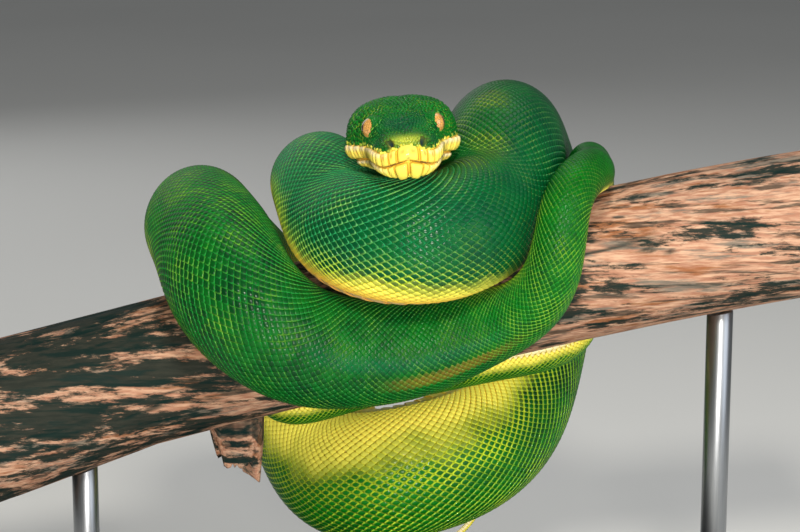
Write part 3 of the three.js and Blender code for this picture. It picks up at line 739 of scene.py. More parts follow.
def ramp(tree, value, low, high, top=1.0):
    inputs = {0: value, 1: low, 2: high, 3: 0.0, 4: top}
    settings = {"interpolation_type": "SMOOTHSTEP"}
    return addNode(tree, "ShaderNodeMapRange", settings, inputs).outputs[0]


# Lays each colour over the last where its value goes from low to high, up to its share.
def layered(tree, color, *layers):
    for value, low, high, share, over in layers:
        color = mixColors(tree, ramp(tree, value, low, high, share), color, over)
    return color


def fieldsOf(tree, *names):
    return [addNode(tree, "ShaderNodeAttribute", {"attribute_name": name}).outputs["Fac"]
            for name in names]


def mathOf(tree, operation, *values):
    inputs = dict(enumerate(values))
    return addNode(tree, "ShaderNodeMath", {"operation": operation}, inputs).outputs[0]


# Noise fixed to the piece, drawn out along any direction whose stretch is below 1.
def noiseOf(tree, scale, detail=2.0, roughness=0.5, stretch=(1, 1, 1), turn=(0, 0, 0)):
    place = addNode(tree, "ShaderNodeTexCoord").outputs["Object"]
    place = addNode(tree, "ShaderNodeMapping", None,
                    {"Vector": place, "Rotation": turn, "Scale": stretch}).outputs[0]
    return addNode(tree, "ShaderNodeTexNoise", None, {
        "Vector": place, "Scale": scale, "Detail": detail, "Roughness": roughness}).outputs["Fac"]


# The last nodes of a material. The bump is its strength, its depth in metres and the value
# that it follows.
def finishMaterial(material, tree, color, inputs, bump=()):
    inputs = {"Base Color": color, **inputs}
    if bump:
        settings = dict(zip(("Strength", "Distance", "Height"), bump))
        inputs["Normal"] = addNode(tree, "ShaderNodeBump", None, settings).outputs["Normal"]
    shader = addNode(tree, "ShaderNodeBsdfPrincipled", None, inputs)
    addNode(tree, "ShaderNodeOutputMaterial", None, {"Surface": shader.outputs["BSDF"]})
    return material


# Snake skin and its keratin scales: waxy and smooth, so the sheen is broad with small bright
# glints.
scaleKeratin = {
    "mid": "#056409", "deep": "#012b0a", "teal": "#01482c", "netGreen": "#1c922a",
    "netBlue": "#34ab78", "netYellow": "#c3d832", "yellow": "#f8ec5c", "yellowRim": "#f0bc2c",
    "cream": "#fdf0b8", "creamRim": "#eccf70", "blush": "#d97a2b",
    # mouth is painted shade: the dark blue-grey that the hollow value lays into the mouth groove,
    # nostrils, lip pits and tongue notch.
    "mouth": "#1b2a33", "grainScale": 2200.0, "cloudScale": 180.0, "widerNet": 0.24,
    "finish": {"Roughness": 0.36, "Specular IOR Level": 0.05, "Coat Weight": 0.2,
               "Coat Roughness": 0.06},
}


def makeKeratin():
    s = scaleKeratin
    material, tree = newMaterial("pythonKeratin")
    pale, dark, netYellow, blue, belly, blush, rim, hollow = fieldsOf(
        tree, "pale", "dark", "netYellow", "blue", "belly", "blush", "rim", "hollow")
    grain, cloud = noiseOf(tree, s["grainScale"]), noiseOf(tree, s["cloudScale"], 3.0)
    rimShare = ramp(tree, mathOf(tree, "MULTIPLY_ADD", netYellow, s["widerNet"], rim), 0.45, 1.0)
    green = mixColors(tree, dark, s["mid"], s["deep"])
    green = layered(tree, green, (cloud, 0.35, 0.7, 0.12, s["netGreen"]))
    net = mixColors(tree, blue, s["netGreen"], s["netBlue"])
    net = mixColors(tree, netYellow, net, s["netYellow"])
    green = mixColors(tree, blue, green, s["teal"])
    green = mixColors(tree, rimShare, green, net)
    yellow = layered(tree, s["yellow"], (rim, 0.5, 1.0, 0.75, s["yellowRim"]))
    cream = mixColors(tree, rimShare, s["cream"], s["creamRim"])
    color = mixColors(tree, pale, green, mixColors(tree, belly, yellow, cream))
    color = mixColors(tree, blush, color, s["blush"])
    # Painted shade: hollow darkens the mouth groove, nostrils, lip pits and tongue notch towards
    # the mouth colour; on the lips a little of it only tones down their own yellow.
    color = mixColors(tree, hollow, color, s["mouth"])
    return finishMaterial(material, tree, color, s["finish"], (0.25, 0.0001, grain))


keratin = makeKeratin()

# The skin is one closed loft from the snout to the tip of the tail.
skin = {"around": 176, "headStep": 0.5, "bodyStep": 4.2, "mouthRow": 46, "groove": 0.9,
        "grooveHalf": 0.38}


def mouthAngle(back):
    def overMouth(angle):
        p = headPoint(back, angle)
        return p[..., 2] > mouthHeight(p[..., 0], back)

    low, high = (np.full_like(back, np.radians(angle)) for angle in (55, 160))
    return halved(low, high, overMouth)


def skinAngles(backs, distances):
    half, row = skin["around"] // 2, skin["mouthRow"]
    share = smoothStep(12, -9, distances)
    mouth = mouthAngle(np.clip(backs, 0.02, lips["corner"]))
    line = (mouth * share + np.pi * row / half * (1 - share))[:, None]
    k = np.arange(half + 1)
    angles = np.where(k <= row, line * k / row, line + (np.pi - line) * (k - row) / (half - row))
    reach = np.maximum(headSection(np.clip(backs, 0.02, head["length"]))[1], 1.0)
    pinch = skin["grooveHalf"] / reach * share
    angles[:, row - 1] = angles[:, row] - pinch
    angles[:, row + 1] = angles[:, row] + pinch
    return np.hstack([angles, 2 * np.pi - angles[:, half - 1:0:-1]])


def buildSkin():
    around, row = skin["around"], skin["mouthRow"]
    backs = np.r_[noseTip(np.linspace(0.05, 1, 22))[:-1],
                  np.arange(nose["length"], head["length"], skin["headStep"])]
    onBody = np.r_[np.arange(0.01, 24, 2.0), np.arange(24, bodyEnd - 2, skin["bodyStep"]),
                   bodyEnd - 1.2]
    distances = np.r_[backs - head["length"], onBody]
    angles = skinAngles(np.r_[backs, np.full(len(onBody), head["length"])], distances)
    grid = np.broadcast_to(distances[:, None], angles.shape)
    point, _, _, normal = surfaceFrame(grid, angles)
    normal = facingOut(point, normal, grid, 3)
    groove = np.zeros(grid.shape)
    corner = lips["corner"] - head["length"]
    groove[:, (row, around - row)] = smoothStep(corner + 1.5, corner - 2, distances)[:, None]
    dent = np.where(grid < 0, smoothStep(1.15, 0.35, nearNostril(toHead(point))), 0)
    inset = np.where(grid > bodyEnd - 60, np.clip((bodyEnd - grid) / 60, 0.2, 1), 1)
    inset = coil["coatDepth"] * inset + skin["groove"] * groove + nostril["depth"] * dent
    point = point - normal * inset[..., None]
    # Painted shade: the mouth groove and the nostril dents are darkened through hollow.
    fields = {**markingsAt(grid, angles, point), "hollow": np.maximum(groove, dent)}
    fields = {key: np.r_[value.ravel(), value[0, 0], value[-1, -1]]
              for key, value in fields.items()}
    snoutTip = headToWorld(np.array([[0, coil["coatDepth"], along(widestPairs, 0)]]))
    points = np.vstack([point.reshape(-1, 3), snoutTip, spinePoints[-1:]])
    onHead = np.r_[(grid < 0).ravel(), True, False]
    between = onHead * (1 - fields["pale"])
    fields["rim"] = 1 - 0.75 * between
    fields["dark"] = np.maximum(fields["dark"], 0.9 * between)
    # Painted shade: pale skin on the head, seen in the gaps between the lip plates, is turned
    # orange-brown through blush.
    fields["blush"] = np.maximum(fields["blush"], 0.4 * onHead * fields["pale"])
    mesh = makeMesh("pythonSkin", points, cappedFaces(len(distances), around), fields)
    flesh = [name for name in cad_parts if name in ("head", "lower_jaw", "neck")
             or name.startswith(("body_", "tail_"))]
    addPiece("pythonSkin", mesh, keratin, flesh)


buildSkin()
print("skin made")


# One scale for Geometry Nodes to lay, pointing along x: a closed low dome with its rear edge
# free. Lengths across are for half width 1.
def makeLeaf(name, power, rise, frontDrop, rearLift, innerShare, rim=1.0):
    ring = turnsRound(8)
    c, s = np.cos(ring), np.sin(ring)
    size = (np.abs(c) ** power + np.abs(s) ** power) ** (-1 / power)
    x, y = c * size, s * size
    z = np.where(x > 0, rearLift * x, frontDrop * -x) - 0.05 * (1 - np.abs(x))
    inner = np.stack([x * innerShare, y * innerShare, 0.72 * rise + 0.1 * x], axis=-1)
    points = np.vstack([np.stack([x, y, z], axis=-1), inner, [[0.05, 0, rise]], [[0, 0, -0.34]]])
    faces = [np.vstack([fanFaces(16, 8, 8), fanFaces(17, 0, 8, True)]),
             np.array([(k, (k + 1) % 8, 8 + (k + 1) % 8, 8 + k) for k in range(8)])]
    fields = {"rim": np.r_[np.full(8, rim), np.full(8, 0.3), 0, rim],
              "patchX": points[:, 0], "patchY": points[:, 1]}
    return newObject(name, makeMesh(name, points / mm, faces, fields))


def makeScaleTree():
    tree = bpy.data.node_groups.new("laidScales", "GeometryNodeTree")
    sockets = {}
    for name, kind in (("Geometry", "NodeSocketGeometry"), ("Scale shape", "NodeSocketObject"),
                       ("Size", "NodeSocketFloat"), ("Finish", "NodeSocketMaterial")):
        socket = tree.interface.new_socket(name, in_out="INPUT", socket_type=kind)
        sockets[name] = socket.identifier
    tree.interface.new_socket("Geometry", in_out="OUTPUT", socket_type="NodeSocketGeometry")
    given = addNode(tree, "NodeGroupInput").outputs
    turn, stretch = (addNode(tree, "GeometryNodeInputNamedAttribute",
                             {"data_type": "FLOAT_VECTOR"}, {"Name": name}).outputs[0]
                     for name in ("turn", "stretch"))
    rotation = addNode(tree, "FunctionNodeEulerToRotation", None, {0: turn})
    sized = addNode(tree, "ShaderNodeVectorMath", {"operation": "SCALE"},
                    {0: stretch, "Scale": given["Size"]})
    shape = addNode(tree, "GeometryNodeObjectInfo", None, {"Object": given["Scale shape"]})
    laid = addNode(tree, "GeometryNodeInstanceOnPoints", None, {
        "Points": given["Geometry"], "Instance": shape.outputs["Geometry"],
        "Rotation": rotation.outputs[0], "Scale": sized.outputs[0]})
    real = addNode(tree, "GeometryNodeRealizeInstances", None, {0: laid.outputs[0]})
    finish = addNode(tree, "GeometryNodeSetMaterial", None,
                     {"Geometry": real.outputs[0], "Material": given["Finish"]})
    addNode(tree, "NodeGroupOutput", None, {0: finish.outputs[0]})
    return tree, sockets


scaleTree, scaleSockets = makeScaleTree()


def eulerAngles(x, y, z):
    return np.stack([np.arctan2(y[:, 2], z[:, 2]), np.arcsin(np.clip(-x[:, 2], -1, 1)),
                     np.arctan2(x[:, 1], x[:, 0])], axis=-1)


# Lays a scale at each root; ways run along the scale, normals out of the skin, and sizes are
# half sizes in mm.
def layScales(name, leaf, roots, ways, normals, sizes, fields, rootUv):
    x = unit(ways - normals * (ways * normals).sum(-1, keepdims=True))
    mesh = bpy.data.meshes.new(name)
    mesh.vertices.add(len(roots))
    mesh.vertices.foreach_set("co", (roots * mm).astype(np.float32).ravel())
    setField(mesh, "turn", eulerAngles(x, np.cross(normals, x), normals), "FLOAT_VECTOR")
    setField(mesh, "stretch", sizes * mm, "FLOAT_VECTOR")
    for key, values in {**fields, "rootU": rootUv[0], "rootV": rootUv[1]}.items():
        setField(mesh, key, values)
    carrier = newObject(name + "Roots", mesh)
    modifier = carrier.modifiers.new("laidScales", "NODES")
    modifier.node_group = scaleTree
    for key, value in (("Scale shape", leaf), ("Size", 1.0), ("Finish", keratin)):
        modifier[scaleSockets[key]] = value
    depsgraph = bpy.context.evaluated_depsgraph_get()
    made = bpy.data.meshes.new_from_object(carrier.evaluated_get(depsgraph),
                                           preserve_all_data_layers=True, depsgraph=depsgraph)
    bpy.data.objects.remove(carrier)
    made.name = name
    bake = {key: np.empty(len(made.vertices), np.float32)
            for key in ("rootU", "rootV", "patchX", "patchY")}
    for key, values in bake.items():
        made.attributes[key].data.foreach_get("value", values)
    for key in (*bake, "turn", "stretch"):
        if key in made.attributes:
            made.attributes.remove(made.attributes[key])
    addBakeMap(made, **bake)
    made.polygons.foreach_set("use_smooth", np.full(len(made.polygons), True))
    addPiece(name, made, keratin)


# Rows run along the body from the middle of the back; neighbours stand half a scale apart.
dorsal = {"pitch": 0.86, "pitchPerRadius": 0.0245, "longShare": 1.84, "lastAngle": 138.0,
          "overlap": 1.13, "cuts": [0, 190, 340, 480, 610, 740, 880, 1080, 1600], "seed": 11,
          "darkRange": (-0.16, 0.16), "netRange": (-0.12, 0.12),
          "leaf": {"power": 1.42, "rise": 0.36, "frontDrop": -0.28, "rearLift": 0.16,
                   "innerShare": 0.56}}


def rowPitch(distance):
    radius = girthAt(np.maximum(distance, 0))
    return np.minimum(dorsal["pitch"] + dorsal["pitchPerRadius"] * radius, 0.36 * radius + 0.25)


def dorsalRoots():
    fine = np.arange(-1.5, bodyEnd - 1.5, 0.5)
    phase = np.r_[0, np.cumsum(0.5 / (dorsal["longShare"] * rowPitch(fine)))][:-1]
    distances, angles = [], []
    for row in range(-64, 65):
        shift = 0.5 * (row % 2)
        places = np.interp(np.arange(0.25 + shift, phase[-1], 1), phase, fine)
        turn = row * rowPitch(places) / girthAt(np.maximum(places, 0))
        keep = np.abs(turn) < np.radians(dorsal["lastAngle"])
        distances.append(places[keep])
        angles.append(turn[keep])
    return np.concatenate(distances), np.concatenate(angles)


def skinPlace(distance, angle):
    point, alongWay, acrossWay, normal = surfaceFrame(distance, angle)
    normal = facingOut(point, normal, distance)
    return point - normal * coil["coatDepth"], alongWay, acrossWay, normal


def layDorsalScales():
    leaf = makeLeaf("dorsalScale", **dorsal["leaf"])
    distance, angle = dorsalRoots()
    order = np.lexsort((angle, distance))
    distance, angle = distance[order], angle[order]
    root, alongWay, acrossWay, normal = skinPlace(distance, angle)
    pitch = rowPitch(distance)
    spread = np.linalg.norm(acrossWay, axis=1) / girthAt(np.maximum(distance, 0))
    pull = np.clip(np.linalg.norm(alongWay, axis=1), 0.35, 1.6)
    sizes = np.stack([pitch * dorsal["longShare"] / 2 * pull * dorsal["overlap"],
                      pitch * np.clip(spread, 0.7, 1.5) * 1.06, 0.45 + 0.35 * pitch], axis=-1)
    fields = markingsAt(distance, angle, root)
    vary(fields, dorsal["seed"], dorsal["darkRange"], dorsal["netRange"])
    for part, (start, stop) in enumerate(zip(dorsal["cuts"][:-1], dorsal["cuts"][1:])):
        start, stop = (start if part else -5), min(stop, bodyEnd)
        own = (distance >= start) & (distance < stop)
        rootUv = (distance[own] - start) / (stop - start), angle[own] / (2 * np.pi) + 0.5
        layScales(f"backScales{part + 1}", leaf, root[own], alongWay[own], normal[own], sizes[own],
                  {key: value[own] for key, value in fields.items()}, rootUv)
        print("back scales", part + 1, own.sum())
    bpy.data.objects.remove(leaf)


layDorsalScales()


# Belly plates, one wide overlapping plate after another.
belly = {
    "halfArc": 45.0, "pitch": 1.0, "pitchPerRadius": 0.2, "across": 17, "first": 5.0,
    "sunk": 0.12, "endDrop": 0.3,
    # along one plate: share of its length, height over the skin from 0 to 1, and rim
    "profile": ((-0.06, -0.5, 1), (0.02, -0.15, 0.7), (0.25, 0.35, 0.1), (0.6, 0.75, 0),
                (1.0, 1.0, 0.25), (1.16, 0.95, 0.8), (1.18, 0.6, 1), (0.9, -0.4, 1)),
}


def layBellyPlates():
    cuts = [belly["first"]]
    while cuts[-1] < bodyEnd - 6:
        radius = float(girthAt(np.array(cuts[-1])))
        cuts.append(cuts[-1] + belly["pitch"] + belly["pitchPerRadius"] * radius)
    front, long = np.array(cuts[:-1])[:, None, None], np.diff(cuts)[:, None, None]
    share, rise, rim = np.array(belly["profile"]).T
    u = np.linspace(-1, 1, belly["across"])[:, None]
    distance, angle = front + long * share, np.pi + np.radians(belly["halfArc"]) * u
    edge = 1 - np.abs(u) ** 6
    raised = np.where(rise > 0, rise * (0.03 * girthAt(front) + 0.1) * edge, rise * 0.8)
    raised = raised - belly["endDrop"] * (1 - edge) - belly["sunk"]
    distance, angle, raised = np.broadcast_arrays(distance, angle, raised)
    distance = np.minimum(distance, bodyEnd - 1)
    plates, across, loop = distance.shape
    point = bodySurface(distance.ravel(), angle.ravel(), raised.ravel())
    fields = markingsAt(distance, angle, point.reshape(*distance.shape, 3))
    fields = {key: value.ravel() for key, value in fields.items()}
    fields["rim"], rootU, rootV, patchX = (
        np.broadcast_to(values, distance.shape).ravel()
        for values in (rim, front / bodyEnd, u * 0.45 + 0.5, share))
    size, k = across * loop, np.arange(loop)
    starts = size * np.arange(plates)
    sides = np.vstack([tubeFaces(across, loop) + start for start in starts])
    ends = np.vstack([starts[:, None] + k[::-1], starts[:, None] + size - loop + k])
    mesh = makeMesh("bellyPlates", point, [sides, ends], fields)
    addBakeMap(mesh, rootU, rootV, patchX, 0 * rootU)
    addPiece("bellyPlates", mesh, keratin)
    print("belly plates", plates)


layBellyPlates()


# Plump plates along both jaws, measured from the middle of the snout round to the corner.
lipPlates = {
    "upperCuts": [-4.0, 4.0, 6.7, 9.5, 12.3, 15.2, 18.4, 21.8, 25.4, 29.2, 33.2, 37.2, 41.0, 44.4],
    "lowerCuts": [0.2, 5.3, 7.9, 10.5, 13.2, 16.0, 19.0, 22.2, 25.6, 29.2, 33.0, 36.8, 40.6],
    "lowerTall": [(0, 6.4), (5, 6.0), (8, 4.6), (20, 3.4), (42, 2.4)],
    "gap": 0.15, "mouthGap": 0.24, "swell": 0.75, "sunk": 0.5, "wide": 11, "high": 13,
    # In the pits and the middle slot, blush and dark are painted shade in the dents.
    "pit": {"u": 0.0, "v": -0.05, "wide": 0.3, "high": 0.42, "depth": 0.75, "blush": 0.9,
            "dark": 0.25},
    "middleSlot": {"u": 0.0, "v": -0.72, "wide": 0.22, "high": 0.1, "depth": 0.5, "blush": 0,
                   "dark": 0.9},
}


def lipTrack():
    back = np.r_[noseTip(np.linspace(0, 1, 160)),
                 np.arange(nose["length"] + 0.2, lips["corner"] + 3, 0.2)]
    side = headSide(np.maximum(back, 0.001), 3.0)
    for _ in range(4):
        side = headSide(np.maximum(back, 0.001), mouthHeight(side, back))
    side[0] = 0
    return lengthAlong(np.stack([side, back], axis=-1)), side, back


lipLength, lipSide, lipBack = lipTrack()


# A place on the lip: distance round from the middle, height over the mouth line, and -1 or 1
# for the side.
def lipPlace(around, over, half, raised):
    x = np.interp(np.abs(around), lipLength, lipSide) * np.sign(around) * half
    back = np.interp(np.abs(around), lipLength, lipBack)
    height = mouthHeight(x, back) + over
    aim = np.stack([x, back, height], axis=-1)
    for _ in range(3):
        aim[..., 2] += height - ontoHead(aim)[0][..., 2]
    at, normal = ontoHead(aim)
    return at + normal * raised[..., None]


def upperTall(around):
    return float(along(lips["tall"], np.interp(abs(around), lipLength, lipBack)))


# One plate: its ends round the lip, its low and high edge, its side and its pits.
def pillow(start, stop, low, high, half, pits=(), swell=1.0):
    wide, tall, sunk = lipPlates["wide"], lipPlates["high"], lipPlates["sunk"]
    u, v = np.meshgrid(np.linspace(-1, 1, wide), np.linspace(-1, 1, tall), indexing="ij")
    dome = np.sqrt(np.maximum((1 - np.abs(u) ** 4) * (1 - np.abs(v) ** 4), 0))
    raised = -sunk + (swell * lipPlates["swell"] + sunk) * dome
    # Painted shade: orange towards the side seams and the lower edge of each plate, and orange and
    # dark in its pits; the even 0.13 of orange and 0.2 of dark only tone down the lip's own yellow.
    blush = 0.13 + 0.2 * smoothStep(0.6, 1.0, np.abs(u)) + 0.1 * smoothStep(-0.2, -1, v)
    hollow = 0.2 + 0 * u
    for pit in pits:
        dent = np.exp(-((u - pit["u"]) / pit["wide"]) ** 2 - ((v - pit["v"]) / pit["high"]) ** 2)
        raised = raised - pit["depth"] * dent
        blush = np.maximum(blush, pit["blush"] * dent)
        hollow = np.maximum(hollow, pit["dark"] * dent)
    around, over = (start + stop) / 2, (low + high) / 2
    top = lipPlace(around + (stop - start) / 2 * u, over + (high - low) / 2 * v, half, raised)
    under = lipPlace(np.array([around]), np.array([over]), half, np.array([-1.1]))
    points = np.vstack([top.reshape(-1, 3), under])
    k = np.arange(wide * tall).reshape(wide, tall)
    faces = np.stack([k[:-1, :-1], k[1:, :-1], k[1:, 1:], k[:-1, 1:]], axis=-1).reshape(-1, 4)
    border = np.r_[k[:, 0], k[-1, 1:], k[-2::-1, -1], k[0, -2:0:-1]]
    bottom = np.stack([np.roll(border, -1), border, np.full(len(border), wide * tall)], axis=-1)
    if signedVolume(points - points.mean(axis=0), [faces, bottom]) < 0:
        faces, bottom = faces[:, ::-1], bottom[:, ::-1]
    fields = {"blush": (blush, 0), "hollow": (hollow, 0), "rim": (1 - dome, 1), "height": (v, -1)}
    return points, faces, bottom, {key: np.r_[value.ravel(), atCentre]
                                   for key, (value, atCentre) in fields.items()}


def buildLips():
    gap, mouthGap = lipPlates["gap"], lipPlates["mouthGap"]
    upper, lower = lipPlates["upperCuts"], lipPlates["lowerCuts"]
    pit, slot = lipPlates["pit"], lipPlates["middleSlot"]
    snoutPits = [dict(pit, u=u, v=0.25, wide=0.16, high=0.3, depth=0.6, dark=0.1)
                 for u in (-0.5, 0.5)]
    frontPit = dict(pit, u=0.35, v=0.3, depth=0.5, dark=0.1)
    plates = [pillow(upper[0] + gap, upper[1] - gap, mouthGap, upperTall(0) + 0.5, 1,
                     snoutPits + [slot])]
    for half in (-1, 1):
        for k in range(1, len(upper) - 1):
            start, stop = upper[k] + gap, upper[k + 1] - gap
            pits = [frontPit] if k in (1, 2) else [pit] if k >= 8 else []
            plates.append(pillow(start, stop, mouthGap, upperTall((start + stop) / 2), half, pits))
        for k in range(len(lower) - 1):
            start, stop = lower[k] + gap, lower[k + 1] - gap
            tall = float(along(lipPlates["lowerTall"], (start + stop) / 2))
            pits = [dict(pit, depth=0.4, dark=0.1)] if k >= 7 else []
            plates.append(pillow(start, stop, -tall, -mouthGap, half, pits, 1.0 if k else 2.1))
    size = len(plates[0][0])
    points = np.vstack([plate[0] for plate in plates])
    roots = np.repeat([plate[0].mean(axis=0) for plate in plates], size, axis=0)
    faces = [np.vstack([plate[part] + size * k for k, plate in enumerate(plates)])
             for part in (1, 2)]
    fields = {key: np.concatenate([plate[3][key] for plate in plates]) for key in plates[0][3]}
    height = fields.pop("height")
    # Painted shade where the lip tucks in under the eye: the plates there lose their yellow and
    # darken.
    recessShade = spot(np.abs(points), (12.5, 19, 1), (3.5, 5, 4.5))
    fields.update(
        pale=np.maximum(1 - 0.85 * recessShade, 0), dark=0.8 * recessShade, blue=0 * height,
        netYellow=headMarkings(roots)["netYellow"],
        # Painted highlight, partly pale lip colour: cream over the upper part of the side plates.
        belly=0.95 * smoothStep(0.0, 0.7, height) * smoothStep(4, 13, np.abs(roots[:, 0])))
    mesh = makeMesh("lipPlates", headToWorld(points), faces, fields)
    addBakeMap(mesh, *headMap(roots), *((points - roots)[:, k] / 2 for k in (1, 2)))
    addPiece("lipPlates", mesh, keratin)
    print("lip plates", len(plates))


buildLips()

# Small scales of the head, spread evenly by pushing apart.
granules = {"spacing": [(0, 1.1), (12, 1.2), (26, 1.45), (40, 1.8), (54, 2.0)],
            "tries": 34000, "rounds": 8, "seed": 5, "eyeRing": 16, "eyeRingRadius": 4.45,
            "ringSize": (0.95, 0.88, 1.25), "lidSize": (0.9, 0.8, 1.3),
            "darkRange": (-0.25, 0.25), "netRange": (-0.2, 0.35),
            "leaf": {"power": 2.0, "rise": 0.5, "frontDrop": 0.08, "rearLift": 0.24,
                     "innerShare": 0.6, "rim": 0.72},
            "lidRings": ((72.0, 23), (86.0, 24), (99.0, 24))}  # angle from the axis, count


def lipDistance(p):
    over = p[:, 2] - mouthHeight(p[:, 0], p[:, 1])
    above = along(lips["tall"], p[:, 1]) - 0.1
    below = -along([(0, 5.6), (2, 5.2), (5, 4.4), (12, 3.6), (43, 2.3)], p[:, 1]) + 0.2
    return np.where(p[:, 1] < lips["corner"] + 0.6, np.maximum(over - above, below - over), 1.0)


def granuleRoots():
    random = np.random.default_rng(granules["seed"])
    count = granules["tries"]
    back, angle = random.uniform(-16, 53.5, count), random.uniform(0, 2 * np.pi, count)
    around = np.stack([20 * np.sin(angle), back, 4 + 20 * np.cos(angle)], axis=-1)
    count = count // 4
    front = np.stack([random.uniform(-16, 16, count), np.full(count, -5.0),
                      random.uniform(-12, 20, count)], axis=-1)
    tries = np.vstack([around, front])
    random.shuffle(tries)
    tries = ontoHead(tries)[0]
    tries = tries[lipDistance(tries) > -0.6]
    gaps = along(granules["spacing"], tries[:, 1])
    kept, keptGaps = np.empty((0, 3)), np.empty(0)
    for share in (0.9, 0.78):
        for place, gap in zip(tries, gaps):
            if (((kept - place) ** 2).sum(axis=1) > (share * gap) ** 2).all():
                kept = np.vstack([kept, place])
                keptGaps = np.r_[keptGaps, gap]
    for _ in range(granules["rounds"]):
        push = np.zeros_like(kept)
        for start in range(0, len(kept), 400):
            some = slice(start, start + 400)
            apart = kept[some, None] - kept[None]
            distance = np.linalg.norm(apart, axis=2) + 1e-9
            lack = np.maximum(1.12 * keptGaps[some, None] - distance, 0)
            lack[np.arange(len(lack)), start + np.arange(len(lack))] = 0
            push[some] = (apart / distance[..., None] * lack[..., None]).sum(axis=1)
        kept = ontoHead(kept + 0.32 * push)[0]
    clear = (lipDistance(kept) > 0) & (nearNostril(kept, 0.15) > 1) & (kept[:, 1] < 53)
    for centre in eyeCentres:
        clear &= np.linalg.norm(kept - centre, axis=1) > granules["eyeRingRadius"] + 0.55
    return kept[clear], along(granules["spacing"], kept[clear][:, 1])


# The upright and the level direction across an eye that looks along axis.
def eyeCross(axis):
    up = unit(np.array([0, 0, 1.0]) - axis * axis[2])
    return up, np.cross(axis, up)


def waysRound(axis, count, offset):
    up, level = eyeCross(axis)
    turn = 2 * np.pi * (np.arange(count) + offset)[:, None] / count
    return np.cos(turn) * level + np.sin(turn) * up


def eyeRingRoots():
    ways = np.array([waysRound(axis, granules["eyeRing"], 0.5) for axis in eyeAxes])
    roots = eyeCentres[:, None] + granules["eyeRingRadius"] * ways * (1, 1, 1.04)
    return ontoHead(roots.reshape(-1, 3))[0], ways.reshape(-1, 3)


# Three rings sit on the eyeball itself and leave an upright oval open.
def lidRoots():
    rings = []
    for centre, axis in zip(eyeCentres, eyeAxes):
        for angle, count in granules["lidRings"]:
            way = waysRound(axis, count, angle / 30)
            normal = np.sin(np.radians(angle)) * way + np.cos(np.radians(angle)) * axis
            root = centre + (eye["radius"] + coil["coatDepth"] - 0.1) * normal
            rings.append((root, way - 0.4 * axis, normal))
    return [np.vstack(parts) for parts in zip(*rings)]


def layHeadScales():
    leaf = makeLeaf("headScale", **granules["leaf"])
    roots, gaps = granuleRoots()
    ringRoots, ringWays = eyeRingRoots()
    lids, lidWays, lidNormals = lidRoots()
    ways = np.vstack([roots - np.array([0, -4, 3]), ringWays, lidWays])
    sizes = np.vstack([np.stack([gaps * 0.6, gaps * 0.55, 0.4 + 0.35 * gaps], axis=-1),
                       np.tile(granules["ringSize"], (len(ringRoots), 1)),
                       np.tile(granules["lidSize"], (len(lids), 1))])
    roots = np.vstack([roots, ringRoots, lids])
    normals = ontoHead(roots)[1]
    normals[-len(lids):] = lidNormals
    fields = headMarkings(roots)
    vary(fields, granules["seed"] + 1, granules["darkRange"], granules["netRange"])
    fields["dark"][-len(ringRoots) - len(lids):] *= 0.3
    roots = roots - normals * coil["coatDepth"]
    layScales("headScales", leaf, headToWorld(roots), turnToWorld(ways), turnToWorld(normals),
              sizes, fields, headMap(roots))
    bpy.data.objects.remove(leaf)
    print("head scales", len(roots))


layHeadScales()

iris = {"orange": "#c9964c", "fleck": "#5f3318", "pale": "#dcc088", "edge": "#0a3a14",
        "pupil": "#0a0908", "fleckScale": 3200.0}


# Wet eye: sharp glints over an iris that is speckled amber, then pale, then green at its edge.
def makeEyeMaterial():
    material, tree = newMaterial("wetEyeScale")
    slit, outward = fieldsOf(tree, "slit", "outward")
    flecks = noiseOf(tree, iris["fleckScale"], 2.0, 0.7)
    color = layered(tree, iris["orange"], (flecks, 0.48, 0.6, 0.85, iris["fleck"]),
                    (outward, 0.5, 0.44, 1.0, iris["pale"]),
                    (outward, 0.34, 0.26, 1.0, iris["edge"]),
                    (slit, 0.45, 0.55, 1.0, iris["pupil"]))
    return finishMaterial(material, tree, color,
                          {"Roughness": 0.12, "Coat Weight": 0.7, "Coat Roughness": 0.04})


def buildEyes():
    material = makeEyeMaterial()
    rings, around = eye["rings"], eye["around"]
    polar = np.linspace(0, np.pi, rings + 2)[1:-1, None]
    turn = turnsRound(around)[None, :]
    a, b, c = np.sin(polar) * np.cos(turn), np.sin(polar) * np.sin(turn), np.cos(polar) + 0 * turn
    width = eye["slitHalf"] * np.maximum(1 - (b / eye["slitTall"]) ** 2, 0)
    slit = smoothStep(eye["slitSoft"], -eye["slitSoft"], np.abs(a) - width) * (c > 0)
    fields = {"slit": np.r_[slit.ravel(), 1, 0], "outward": np.r_[c.ravel(), 1, -1]}
    for side, centre, axis in zip(("right", "left"), eyeCentres, eyeAxes):
        up, level = eyeCross(axis)
        ways = a[..., None] * level + b[..., None] * up + c[..., None] * axis
        points = centre + eye["radius"] * np.vstack([ways.reshape(-1, 3), axis, -axis])
        mesh = makeMesh(side + "Eye", headToWorld(points), cappedFaces(rings, around), fields)
        addPiece(side + "Eye", mesh, material, ["eye_" + side])


buildEyes()
print("eyes made")


# Perch: a weathered cut branch with grooves along the grain and a torn side branch.
perchWood = {
    "around": 168, "rings": 280, "groove": 1.0, "capRings": 9,
    "pink": "#9c6f58", "light": "#c29c80", "ochre": "#80491c", "grey": "#4b5a55",
    "dark": "#04201d", "darkerLeft": 0.06, "endGrain": "#c9a07c", "core": "#8f6544",
    "grainTilt": 0.256, "ringsPerMm": 3.4,
    # fibre, streak, patch and char: stretch along the branch, scale, detail, roughness
    "grain": ((0.12, 900.0, 4.0, 0.6), (0.1, 210.0, 6.0, 0.65), (0.2, 85.0, 9.0, 0.74),
              (0.06, 330.0, 5.0, 0.6)),
}
stub = {"x": -64.0, "y": -3.0, "rootDepth": 14.0, "length": 43.0, "radius": 11.8,
        "taper": 0.25, "lean": -2.0, "slant": 4.0, "teeth": 4, "tearHeight": 2.5,
        "splinters": 7, "splinterHeight": 1.5, "around": 66, "rings": 26}


